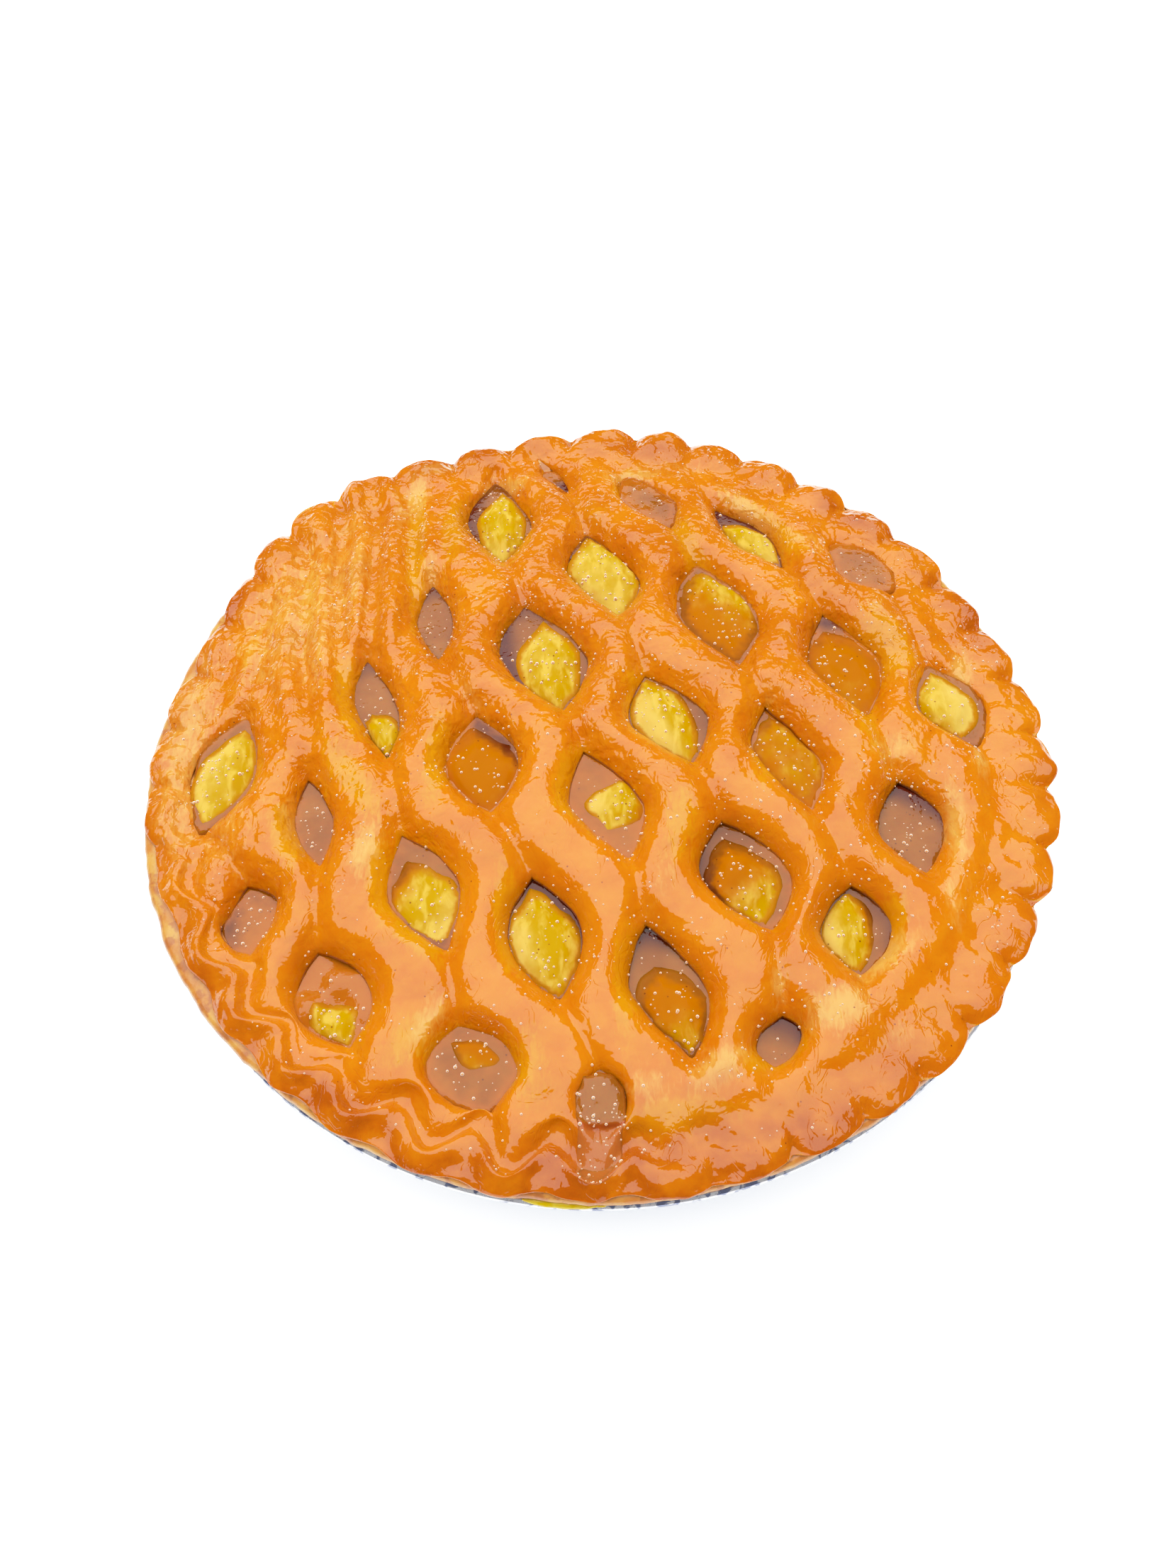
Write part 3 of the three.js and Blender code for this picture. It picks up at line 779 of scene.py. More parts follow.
clouds = span(tree, noise(tree, spot, 20, 3), 0.4, 0.62)
colour = blend(tree, clouds, linear("#b86002"), linear("#c06804"))
mottle = span(tree, noise(tree, spot, 4.5, 4), 0.35, 0.65)
colour = blend(tree, sums(tree, "MULTIPLY", mottle, 0.25), colour, linear("#c67a0a"))
wet = sums(tree, "ADD", sums(tree, "MULTIPLY", value_of(tree, "edge"), 0.5), value_of(tree, "gold"))
soaked = span(tree, sums(tree, "ADD", wet, streaks), 0.75, 1.35, 0, 0.8)
colour = blend(tree, soaked, colour, linear("#c07a02"))
pale = sums(tree, "ADD", value_of(tree, "pale"), sums(tree, "MULTIPLY", streaks, 1.2))
colour = blend(tree, span(tree, pale, 0.85, 1.7, 0, 0.9), colour, linear("#c98c3e"))
uneven = span(tree, noise(tree, spot, 7, 3), 0.3, 0.65, 0.3, 1)
colour = blend(tree, sums(tree, "MULTIPLY", value_of(tree, "bake"), uneven), colour, linear("#964804"))
# Painted shade at the foot of some opening walls, darkest on the side turned away from the light.
colour = blend(tree, value_of(tree, "foot"), colour, linear("#7c3806"))
tree.links.new(spice(tree, spot, colour, 4.5, 0.15), shader.inputs["Base Color"])

# %% Glazed pastry: its skin
# Soft dents, deepest where the dough is slack, then the thin ridges of wrinkles in patches, then
# the glaze's own fine waves.
slack = value_of(tree, "slack")
dents = noise(tree, spot, 4.2, 2.5, distortion=0.3)
skin = bump(tree, sums(tree, "MULTIPLY", dents, slack), 1.2)
patches = span(tree, noise(tree, spot, 9, 3, shift=5.0), 0.45, 0.58)
lines = noise(tree, spot, 4.5, 1, distortion=1.6, stretch=(0.9, 1.3, 1), turn=STROKES)
lines = span(tree, sums(tree, "ABSOLUTE", sums(tree, "SUBTRACT", lines, 0.5), 0), 0, 0.08)
skin = bump(tree, sums(tree, "MULTIPLY", lines, patches), 0.05, skin)
waves = noise(tree, spot, 2.4, 1, distortion=0.4, shift=2.0)
skin = bump(tree, sums(tree, "MULTIPLY", waves, span(tree, slack, 0.4, 1.0, 0.25, 1.0)), 0.3, skin)
tree.links.new(skin, shader.inputs["Coat Normal"])
tree.links.new(skin, shader.inputs["Normal"])
print("pastry:", len(tree.nodes), "nodes")

# %% [markdown]
# ## Shades of the lid
#
# Where the lid is pale, golden or brown depends on the oven and the brush, so those places are
# given one by one. Each row of a table is one soft oval. The walls of some openings get painted
# shade at their foot, most of all on the side that is turned away from the light, and a second
# table says which.

# %% Tables of shades
# x, y, half length, half width, turn, strength
PALE = [
    (-92, 4, 42, 8, 92, 0.8), (-68, 42, 36, 20, 70, 0.7), (-80, -18, 20, 10, 80, 0.5),
    (10, 84, 9, 4, 15, 1.0), (38, 72, 12, 3, -48, 1.0), (52, 60, 8, 3, -40, 0.6),
    (84, 22, 8, 3.5, 80, 1.0), (85, -3, 6, 2.5, 90, 0.8), (77, -20, 14, 3, 88, 0.9),
    (74, -38, 8, 2.5, 95, 0.7), (66, -1, 7, 5, 20, 0.7), (58, -50, 9, 4, 35, 1.1),
    (48, -62, 8, 5, 20, 1.1), (60, -66, 8, 4, 30, 0.5), (36, -57, 5, 3, 90, 0.7),
    (23, -74, 8, 4, 35, 1.0), (9, -78, 6, 4, 0, 0.7), (-49, -26, 8, 3.5, 80, 0.9),
    (-66, -18, 10, 4, -75, 0.6), (-34, -64, 8, 3, 60, 0.8), (-44, 78, 10, 3.5, 85, 1.0),
    (-22, 82, 8, 4, 0, 0.9), (-40, 88, 8, 3, 25, 0.9), (-57, 52, 18, 3.5, 88, 0.8),
    (-48, 72, 12, 3, 95, 0.6), (-70, 60, 14, 5, 60, 0.6), (-76, 40, 14, 4, 75, 0.6),
    (-64, 28, 16, 4, 95, 0.7), (-75, 22, 8, 6, 60, 0.6), (-39, 50, 8, 2.5, 90, 0.8),
    (-28, 12, 8, 3, -60, 0.5), (22, 87, 10, 3, -15, 0.6), (66, 40, 8, 4, -45, 0.5),
    (-60, 68, 12, 5, 60, 0.6), (-88, 38, 6, 3, 60, 0.5), (40, 12, 6, 4, -60, 0.4),
    (14, -36, 8, 5, 80, 0.4), (-20, 0, 8, 4, -70, 0.3), (45, -20, 10, 5, -60, 0.3),
]
GOLD = [
    (-43, 62, 24, 3, 92, 1.0), (-34, 64, 14, 4, 92, 0.9), (-56, 14, 16, 3.5, 100, 0.9),
    (-53, -9, 14, 3.5, -58, 1.0), (-67, -22, 9, 3, -72, 1.1), (-46, -33, 13, 3, -80, 1.0),
    (-38, -47, 9, 3, -42, 0.9), (-19, -43, 14, 3, -85, 0.9), (-6, -12, 10, 3.5, 82, 1.0),
    (22, 60, 12, 4, -72, 0.9), (68, 30, 12, 5, -70, 1.0), (60, 6, 14, 4, -80, 0.7),
    (14, -84, 14, 4, 8, 1.0), (-38, -68, 7, 5, 50, 0.9), (-14, -74, 10, 5, 90, 0.7),
    (8, 82, 8, 3, 70, 0.9), (10, 10, 14, 4, -75, 0.6), (44, 66, 16, 4, -50, 0.9),
    (36, -5, 14, 3, 85, 0.7), (17, -22, 12, 4, 80, 0.8), (5, -58, 14, 3, 88, 0.9),
    (-35, -5, 14, 3, 88, 0.9), (-20, 30, 8, 3, 80, 0.5), (78, 8, 8, 3, 90, 0.6),
    (-68, 44, 18, 3, 92, 0.7), (-80, 30, 16, 3, 80, 0.6), (61, -44, 10, 2.5, 75, 0.9),
    (-72, 76, 8, 4, 45, 0.5), (32, -72, 10, 3, 30, 0.7), (0, 70, 8, 4, -50, 0.5),
    (-28, 44, 10, 4, -60, 0.4), (45, 44, 10, 4, -60, 0.4),
]

BROWN = [
    (10, -91, 50, 8, 6, 1.0), (30, -88, 28, 6, 18, 1.0), (56, -74, 16, 5, 38, 0.6),
    (-20, -94, 22, 3.5, -12, 0.8), (-52, -80, 22, 3.5, -35, 0.8), (-76, -58, 16, 3, -52, 0.6),
    (20, -78, 8, 2, 25, 0.5), (-60, -52, 10, 4, -60, 0.4), (88, 36, 10, 4, -65, 0.6),
    (64, 70, 14, 4, -42, 0.6), (-40, 88, 14, 3, 22, 0.5), (-82, 52, 14, 3, 58, 0.5),
    (8, 94, 16, 3, -4, 0.5), (-24, -6, 8, 2, 85, 0.5), (-4, 60, 8, 3, 60, 0.4),
    (18, 52, 8, 3, -45, 0.4), (56, 30, 8, 3, -45, 0.4), (30, 22, 12, 3, -45, 0.35),
    (-10, 45, 10, 3, -40, 0.35), (2, 32, 10, 3, -45, 0.3), (46, 50, 10, 3, -45, 0.35),
]


def spots(points, table):
    """Soft oval spots laid on the lid: their strongest value at each point."""
    total = np.zeros(len(points))
    for x, y, long, wide, turn, strength in table:
        c, s = math.cos(math.radians(turn)), math.sin(math.radians(turn))
        along, across = (points - (x, y)) @ (c, s) / long, (points - (x, y)) @ (-s, c) / wide
        total = np.maximum(total, strength * np.exp(-along ** 2 - across ** 2))
    return total


# %% The lid
# How much painted shade the walls of an opening get: at their foot on the lid, and in the gel beside them.
WALL_SHADE = {
    "b2": 0.25, "b4": 0.3, "c2": 0.4, "c4": 0.2, "c5": 0.35, "d1": 0.25, "d2": 0.25, "d3": 0.15,
    "d4": 0.3, "d5": 0.3, "e4": 0.4, "e5": 0.35, "e6": 0.3, "b1": 0.25, "a3": 0.45, "f2": 0.25,
    "c1": 0.25, "f1": 0.2, "e2": 0.15,
}
# A small step, in mm, away from the light: walls that rise that way get the most painted shade.
STEP_BACK, STEP_LONG = np.array([-0.12, 0.28]), 0.3

map_r = np.hypot(top_flat[:, 0], top_flat[:, 1])
shades = {key: np.zeros(len(lid_all)) for key in ("edge", "pale", "gold", "bake", "slack", "foot")}
# Painted shade at the foot of each listed wall, stored as `foot`.
for name, strength in WALL_SHADE.items():
    slit = slits[name]
    near = beside(top_flat, slit, 4)
    gap = loop_distance(top_flat[near], slit["loop"])
    uphill = (loop_distance(top_flat[near] + STEP_BACK, slit["loop"]) - gap) / STEP_LONG
    wall = strength * (0.6 + 0.6 * np.clip(uphill, -0.6, 1)) * (1 - smooth(gap, 0.2, 3.0))
    shades["foot"][near] = np.maximum(shades["foot"][near], wall)
shades["edge"][:] = 1
shades["edge"][:len(top)] = np.clip(1 - top_gap / ROUND, 0, 1) ** 2 * (map_r < 100)
shades["pale"][:len(top)] = spots(top[:, :2], PALE)
shades["gold"][:len(top)] = spots(top[:, :2], GOLD)
brim = smooth(map_r, 92, 101) * (0.7 + 0.5 * ripple(top_flat, 8, 5))
back = 0.3 * smooth(top[:, 1], -10, 50) * smooth(ripple(top_flat, 10, 16), -0.5, 0.6)
shades["bake"][:len(top)] = np.clip(0.8 * brim + back + spots(top[:, :2], BROWN), 0, 1)
towards_back = top[:, 1] - 0.3 * top[:, 0] + 10 * ripple(top_flat, 25, 15)
shades["slack"][:len(top)] = 0.4 + 0.6 * smooth(towards_back, -45, 15)
lid = make_piece("lattice_lid", lid_all, lid_faces, pastry, **shades)
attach(lid, "root")
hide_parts("lattice_crust")
print("lid piece:", len(lid.data.polygons), "triangles")

# %% [markdown]
# ## Apple filling, set to a gel
#
# Thickened apple syrup: amber-brown and cloudy, with a skin as glossy as the glaze, so that it
# turns mauve wherever it mirrors the lamp. Apple and dough below the skin make it warmer in
# places, and it gets painted shade, darker and redder, on one side of some openings and at the
# foot of their walls. Two stored values say where.

# %% Gel
def gel_body(name, constants):
    """A glossy, cloudy body of gel. The constants are added to the usual ones or replace them."""
    return finish(name, {
        "Roughness": 0.4, "Specular IOR Level": 0.0, "Coat Weight": 0.85, "Coat Roughness": 0.03,
        "Coat IOR": 1.45, "Subsurface Weight": 0.25, "Subsurface Scale": 0.002, **constants})


def gel_colour(tree, spot):
    """Amber-brown gel: darker and redder by the painted shade stored on its points, warmer by `warm`."""
    clouds = span(tree, noise(tree, spot, 9, 2), 0.35, 0.65)
    colour = blend(tree, clouds, linear("#7a4408"), linear("#865012"))
    colour = blend(tree, value_of(tree, "deep"), colour, linear("#4c1608"))
    warm = sums(tree, "ADD", value_of(tree, "warm"), sums(tree, "MULTIPLY", noise(tree, spot, 3, 3), 0.5))
    return blend(tree, span(tree, warm, 0.35, 1.1), colour, linear("#a0580c"))


gel, tree, shader, spot = gel_body("apple gel", {})
tree.links.new(spice(tree, spot, gel_colour(tree, spot)), shader.inputs["Base Color"])
tree.links.new(bump(tree, noise(tree, spot, 3.5, 3), 0.45), shader.inputs["Coat Normal"])

# %% [markdown]
# ## How high the gel stands
#
# One dome of gel runs under the whole lid. In each opening it bulges or sinks a little, and in
# the shallow openings near the rim it stands almost level with the dough.

# %% Level of the gel
# The gel in each opening: how far it stands above its usual level, how far dough and apple
# below make it look warm, how lumpy its skin is, the side on which it gets painted shade, and how much.
GEL = {
    "tear": (1.5, 0.2, 0, 300, 1.0), "a2": (3.6, 0.3, 0.3, 20, 0.2), "a3": (0, 0, 0, 75, 1.0),
    "a4": (3.4, 0.3, 0.2, 0, 0), "b1": (0, 0, 0, 175, 0.8), "b2": (0, 0, 0, 190, 0.6),
    "b3": (0.6, 0.1, 0.2, 0, 0), "b4": (0, 0.5, 0.4, 80, 1.0), "b5": (2.4, 0, 0.2, 0, 0),
    "c1": (0, 0, 0, 100, 0.7), "c2": (0, 0, 0, 190, 1.0), "c3": (0, 0, 0, 20, 0.3),
    "c4": (0, 0.4, 0.4, 0, 0), "c5": (0, 0, 0.3, 60, 1.0), "d1": (0, 0, 0, 100, 0.6),
    "d2": (0.5, 0.6, 0.4, 45, 0.9), "d3": (0, 0.4, 0.1, 0, 0), "d4": (0, 0.2, 0.1, 190, 0.6),
    "d5": (0, 0, 0, 30, 0.5), "e1": (2, 0.1, 0.1, 0, 0), "e2": (0, 0.2, 0.3, 0, 0),
    "e3": (0.5, 0.2, 0.2, -100, 0.3), "e4": (0, 0, 0, 50, 1.0), "e5": (0, 0, 0, 85, 0.9),
    "e6": (0, 0.2, 0.5, 60, 0.8), "f1": (0, 0.5, 0.3, 180, 0.6), "f2": (0.6, 1.0, 1.6, 100, 0.5),
    "f3": (1.8, 0.3, 0.3, 0, 0), "f4": (3.0, 0, 0.3, 0, 0),
}


def gel_level(points):
    """Height of the gel over a spot, the painted shade that it gets there, and how warm it looks."""
    level = crown(np.hypot(points[:, 0], points[:, 1])) - FILLING_DEPTH
    dome = level.copy()
    deep, warm = np.zeros(len(points)), np.zeros(len(points))
    for name, slit in slits.items():
        near = beside(points, slit, 4)
        rise, warmth, lumps, side, strength = GEL[name]
        gap = loop_distance(points[near], slit["loop"])
        inside = 1 - smooth(gap, 0.5 + 0.4 * rise, 1.2 + 0.5 * rise)
        wall = np.exp(np.minimum(gap, 0) / 0.9)
        # Painted shade in the gel: on the listed side of the opening, under its back wall, and at the foot of
        # its walls.
        away, edge = points[near] - slit["middle"], slit["loop"] - slit["middle"]
        reach = (edge @ direction(side)).max()
        far = strength * smooth(away @ direction(side), reach - 6.5, reach - 1)
        back = edge[:, 1].max()
        shadow = 1.3 * WALL_SHADE.get(name, 0)
        far = np.maximum(far, shadow * smooth(away[:, 1], back - 7, back - 1))
        even = 0.7 * (crown(np.hypot(*slit["middle"])) - FILLING_DEPTH - dome[near])
        level[near] += inside * (even + rise + lumps * (ripple(points[near], 5.5, 12) - 0.3))
        dark = far + 0.75 * WALL_SHADE.get(name, 0.2) * wall
        deep[near] = np.maximum(deep[near], inside * np.clip(dark, 0, 1))
        warm[near] = np.maximum(warm[near], inside * np.clip(warmth + 0.3 * wall - 0.5 * far, 0, 1))
    return level, deep, warm


# %% The filling
FILL_R, FILL_COUNT = 89.6, 180  # its top edge, and the points round it
FILL_FOOT_R, FILL_FOOT_Z = 70, 4.7
ROWS_INWARD = (-1.6, -0.7, 0.0, 0.5, 1.1, 1.9)  # rows of points beside each opening, mm inwards
SETTLED = 0.1  # how far the set gel sank

inset_rows = np.vstack([outward(loop, -away) for loop in openings for away in ROWS_INWARD])
inset_rows = inset_rows[np.hypot(inset_rows[:, 0], inset_rows[:, 1]) < FILL_R - 0.3]
fill_loose = thin(np.vstack([inset_rows, hexagons(FILL_R - 1, 1.5)]), 0.6)
fill_flat, fill_faces = triangulate([circle(FILL_R, FILL_COUNT)], fill_loose)
fill_z, fill_deep, fill_warm = gel_level(fill_flat)
fill_z = fill_z + 0.12 * ripple(fill_flat, 6, 11) - SETTLED
fill_top = np.column_stack([fill_flat, fill_z])
foot = np.column_stack([circle(FILL_FOOT_R, FILL_COUNT), np.full(FILL_COUNT, FILL_FOOT_Z)])
first = len(fill_top)
sides = [(k, first + k, first + (k + 1) % FILL_COUNT, (k + 1) % FILL_COUNT) for k in range(FILL_COUNT)]
bottom = [tuple(first + k for k in reversed(range(FILL_COUNT)))]
# The gel's painted shade is stored on its points; its hidden foot gets the darkest.
filling = make_piece("apple_filling", np.vstack([fill_top, foot]), fill_faces.tolist() + sides + bottom, gel,
                     deep=np.append(fill_deep, np.ones(FILL_COUNT)),
                     warm=np.append(fill_warm, np.zeros(FILL_COUNT)))
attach(filling, "root")
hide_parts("filling")
print("filling:", len(filling.data.polygons), "faces")

# %% [markdown]
# ## Apple pieces
#
# Cooked apple lies in the gel, one piece to most openings. A piece is a leaf-shaped mound, higher
# at one end. Gel coats its edges, so its colour runs out into the gel's own colour before the
# mound dips under. Some pieces are clean yellow, some are glazed amber, and some have a milky
# veil of gel over one side: a stored value says which, from -1 for veiled to 1 for amber.

# %% Cooked apple
apple, tree, shader, spot = gel_body("cooked apple", {
    "Subsurface Weight": 0.3, "Coat Weight": 0.07, "Coat Roughness": 0.05})
fibres = span(tree, noise(tree, spot, 3, 3, distortion=0.5, stretch=(0.7, 1.6, 1)), 0.42, 0.68)
colour = blend(tree, fibres, linear("#a87e00"), linear("#c49a3c"))
tone = sums(tree, "ADD", value_of(tree, "tone"), sums(tree, "MULTIPLY", noise(tree, spot, 3.5, 3), 0.5))
colour = blend(tree, span(tree, tone, 0.45, 1.0, 0, 1), colour, linear("#9e5a00"))
colour = blend(tree, span(tree, tone, -0.35, 0.2, 0.85, 0), colour, linear("#cca250"))
shown = sums(tree, "ADD", value_of(tree, "shown"), sums(tree, "MULTIPLY", noise(tree, spot, 2, 2), 0.5))
coated = blend(tree, span(tree, tone, 0.3, 1.0), linear("#a0680a"), gel_colour(tree, spot))
colour = blend(tree, span(tree, shown, 0.42, 0.8), coated, colour)
tree.links.new(spice(tree, spot, colour), shader.inputs["Base Color"])
tree.links.new(bump(tree, noise(tree, spot, 2.5, 3), 0.35), shader.inputs["Coat Normal"])

# %% Apple pieces
# slit, nudge x, nudge y, length, width, turn, rise, tone at the far, near, left and right side
APPLES = [
    ("b1", 0.6, -1.2, 24, 8.5, 90, 2.2, 0.2, -0.3, 0, 0),
    ("a3", 0.2, -1.6, 17, 7.5, 138, 1.4, 0, -0.4, 0, 0),
    ("b2", 0.3, -1, 26, 15.5, 104, 2.2, -0.1, -0.3, -0.2, 0.1),
    ("b3", 0.5, -0.6, 29, 15.5, 103, 1.1, 0.2, 0.9, 0.3, -0.1),
    ("b4", -0.8, -2.6, 25, 16, 104, 1.0, 0.9, 0.5, 0, 0.1),
    ("b5", -1.8, -1.1, 18, 11.5, 100, 2.0, -0.1, -0.1, 0.1, -0.6),
    ("d1", 1.5, -8, 12, 6.5, 107, 1.0, 0.3, 0.1, 0, 0),
    ("c2", 1.2, -3.4, 26, 11, 97, 2.2, -0.3, 0.2, -0.2, 0.1),
    ("c3", -0.8, -1, 25, 9.5, 114, 1.8, 0, -0.1, -0.7, 0.3),
    ("c4", 0, -1, 25, 12.5, 104, 1.0, 0.45, 0.6, 0.1, 0.0),
    ("e1", 0.8, -1.2, 26, 10, 75, 1.6, -0.2, -0.1, -0.3, 0.2),
    ("d2", -0.6, -2.6, 22, 16, 99, 1.5, 1.0, 0.6, 0.2, -0.1),
    ("d3", 2, -0.7, 12, 8.5, 69, 1.3, 0, 0, -0.5, 0.4),
    ("d4", -1, -2, 20, 13, 106, 1.9, 1.2, 0, 0.2, -0.1),
    ("d5", -2, -0.5, 19, 8, 87, 1.9, 0.2, -0.3, -0.5, 0.5),
    ("e3", 0.2, -4, 20, 12.5, 106, 1.0, 0.7, -0.5, 0.3, -0.4),
    ("e4", 0, -2.2, 24, 12, 103, 2.3, -0.1, -0.1, -0.4, 0.4),
    ("e5", 0.6, -5, 20, 12, 108, 1.7, 1.2, 0.2, -0.1, 0.1),
    ("f2", 0.3, -6.4, 10, 7, 128, 1.2, 0.3, 0.1, 0, 0),
    ("f3", 1.0, 2.8, 8, 2.5, 162, 0.6, 0.6, 0.6, 0, 0.2),
]
PIECE_RINGS, PIECE_SKIRT = 11, 2.0
SPREAD_LONG, SPREAD_WIDE = 3, 4  # the mesh runs on under the gel by this much in all
wet_skins = []  # points, faces and wetness of the skins that bubbles are scattered on


def shrunk_rings(loop, centre, rings, reach):
    """An outline and its copies that shrink towards a centre, and how far in each point is."""
    share = np.linspace(0, 1, rings)
    flat = (loop + (centre - loop) * share[:, None, None] * reach).reshape(-1, 2)
    return flat, np.repeat(share, len(loop))


def lay_in_gel(name, points, count, skirt, material, wet, **values):
    """A piece from rings of `count` points, edge first, with a skirt that hangs into the gel."""
    points = np.vstack([points[:count] - (0, 0, skirt), points])
    rings = len(points) // count
    faces = ring_faces(rings, count)
    faces += [tuple(range((rings - 1) * count, rings * count)), tuple(reversed(range(count)))]
    wet_skins.append((points, faces, np.append(wet[:count], wet)))
    stored = {key: np.append(numbers[:count], numbers) for key, numbers in values.items()}
    return make_piece(name, points, faces, material, **stored)


for number, (name, dx, dy, length, width, turn, rise, *tones) in enumerate(APPLES, 1):
    middle, axis = slits[name]["middle"] + (dx, dy), direction(turn)
    loop = lens_outline(middle, length + SPREAD_LONG, width + SPREAD_WIDE, axis, 0, 2.2, per_side=24)
    loop = loop + 0.85 * stir(loop, 4, number, number + 40)
    flat, deep_in = shrunk_rings(loop, middle, PIECE_RINGS, 0.97)
    along = (flat - middle) @ axis / length
    across = (flat - middle) @ (axis[1], -axis[0]) / width
    gap, _ = relief(flat)
    mound = smooth(deep_in, 0, 0.7)
    height = rise * (1 + 0.8 * along) * mound + 0.45 * ripple(flat, 5, number + 3) * mound - 0.12
    height = height * smooth(-gap, -0.2, 1.0) - 0.3 * (1 - smooth(-gap, -0.2, 0.4))
    level, deep, warm = gel_level(flat)
    far, near, left, right = tones
    tone = near + (far - near) * (along + 0.5) + left + (right - left) * (across + 0.5)
    shown = np.clip(deep_in * (2.2 - 1.1 * np.clip(tone, 0, 1)), 0, 1) * smooth(-gap, -0.3, 0.9)
    piece = lay_in_gel(f"apple_piece_{number:02d}", np.column_stack([flat, level + height]), len(loop),
                       PIECE_SKIRT, apple, 0.8 * smooth(shown, 0.2, 0.6),
                       tone=tone, deep=deep, warm=warm, shown=shown)
    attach(piece, "root")
    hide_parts(f"apple_{number:02d}")
print(len(APPLES), "apple pieces")

# %% [markdown]
# ## Bottom crust
#
# The shell that lines the tin shows only as a thin, uneven lip under the lid. It is the same
# dough with less heat and no glaze of its own, so it is paler and duller, and brown at its lip.

# %% Pale baked dough
dough, tree, shader, spot = finish("pale baked dough", {
    "Roughness": 0.5, "Coat Weight": 0.5, "Coat Roughness": 0.15,
    "Subsurface Weight": 0.1, "Subsurface Scale": 0.0015})
shader.inputs["Subsurface Radius"].default_value = (1.0, 0.45, 0.15)
colour = blend(tree, span(tree, noise(tree, spot, 5, 3), 0.35, 0.65), linear("#b26a12"), linear("#bf8430"))
browned = span(tree, noise(tree, spot, 3, 4, shift=2.0), 0.5, 0.62, 0, 0.7)
tree.links.new(blend(tree, browned, colour, linear("#94500e")), shader.inputs["Base Color"])
tree.links.new(bump(tree, noise(tree, spot, 1.5, 3), 0.3), shader.inputs["Normal"])

# %% Bottom crust
AROUND = 480  # points round the shell
# radius, height, share of the lip's unevenness
SHELL = [
    (2, 4.3, 0), (30, 4.3, 0), (71.9, 4.3, 0), (80, 14.6, 0), (LEDGE_R, LEDGE_Z, 0),
    (96, LEDGE_Z + 0.1, 0), (98.2, LEDGE_Z, 1), (99.0, 27.4, 1), (99.3, 26.4, 1), (98.9, 25.2, 1),
    (96.7, 25.0, 0), (93.9, 22.9, 0), (85, 12.4, 0), (75.6, 1.9, 0), (73.6, 0.8, 0), (30, 0.8, 0),
    (2, 0.8, 0),
]
azimuth = np.linspace(0, 2 * math.pi, AROUND + 1)[:-1]
lip_ring = circle(99, AROUND)
uneven = SHOW_OUT * show(azimuth) + 0.35 * ripple(lip_ring, 6, 20) + 0.2 * ripple(lip_ring, 1.8, 21)
wavy = 0.25 * ripple(lip_ring, 3, 22)
rows = []
for r, z, lip in SHELL:
    radii = r + lip * uneven
    rows.append(np.column_stack([radii * np.cos(azimuth), radii * np.sin(azimuth), z + lip * wavy]))
faces = [(a, d, c, b) for a, b, c, d in ring_faces(len(SHELL), AROUND)]
last = (len(SHELL) - 1) * AROUND
faces += [tuple(range(AROUND)), tuple(last + k for k in reversed(range(AROUND)))]
shell = make_piece("pie_shell", np.vstack(rows), faces, dough)
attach(shell, "root")
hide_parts("bottom_crust")
print("shell:", len(shell.data.polygons), "faces")

# %% [markdown]
# ## The foil tin
#
# A tin like this is pressed from a flat disc of thin foil. Pressing leaves more foil round the
# wall than there is room for, and the die gathers it into even pleats that run up the wall and
# out over the flange to the rolled rim. That is a shape that repeats, so Geometry Nodes makes
# it: one sector with one pleat goes in, instances of it are turned round the axis, and they are
# realized and welded into one tin. The foil is bright and a little crinkled. Its pleats get
# painted shade in their valleys, and the rolled rim gets small blue-grey patches of painted dark
# reflection: two stored values, `fold` and `lip`, say where.

# %% Foil
foil, tree, shader, spot = finish("pressed aluminium foil", {"Metallic": 0.55})
crinkle = noise(tree, spot, 3, 2, distortion=0.6)
colour = blend(tree, span(tree, crinkle, 0.35, 0.65), linear("#e6e7ea"), linear("#d2d4da"))
# Painted shade in the valleys of the pleats.
colour = blend(tree, sums(tree, "MULTIPLY", value_of(tree, "fold"), 0.8), colour, linear("#80838c"))
# Painted dark reflections: small blue-grey glints on the rolled rim.
painted_glints = span(tree, noise(tree, spot, 2.2, 3, distortion=0.5, shift=3.0), 0.5, 0.6)
colour = blend(tree, sums(tree, "MULTIPLY", painted_glints, value_of(tree, "lip")), colour, linear("#747b98"))
tree.links.new(colour, shader.inputs["Base Color"])
tree.links.new(span(tree, crinkle, 0.3, 0.7, 0.14, 0.34), shader.inputs["Roughness"])
tree.links.new(bump(tree, crinkle, 0.14), shader.inputs["Normal"])

# %% One pleat of the tin
PLEATS = 72
ACROSS = 6  # steps over one pleat
PLEAT_DEEP = 0.55
LIP_R = 94.5  # the rolled rim and the flange lie outside this radius
# radius, height, share of the pleat: outside upwards, over the rim, and down the inside
TIN = [
    (3, 0.35, 0), (40, 0.3, 0), (68, 0.3, 0), (70, 0, 0), (TIN_BASE_R - 0.6, 0, 0),
    (75.4, 0.4, 0.2), (76.6, 1.4, 0.8), (82, 7.9, 1), (88, 14.6, 1), (94.0, 21.4, 1),
    (94.9, 22.0, 0.6), (98.3, 22.3, 0.3), (99.2, 22.7, 0.1), (99.6, 23.4, 0), (99.5, 24.2, 0),
    (98.9, 24.7, 0), (98.1, 24.6, 0), (97.6, 24.0, 0), (97.4, 23.1, 0.1), (94.4, 22.5, 0.6),
    (93.5, 21.4, 1), (87.6, 14.8, 1), (81.6, 8.1, 1), (76.2, 1.9, 0.8), (75, 1.0, 0.2),
    (TIN_BASE_R - 0.8, 0.5, 0), (68, 0.6, 0), (40, 0.65, 0), (3, 0.7, 0),
]


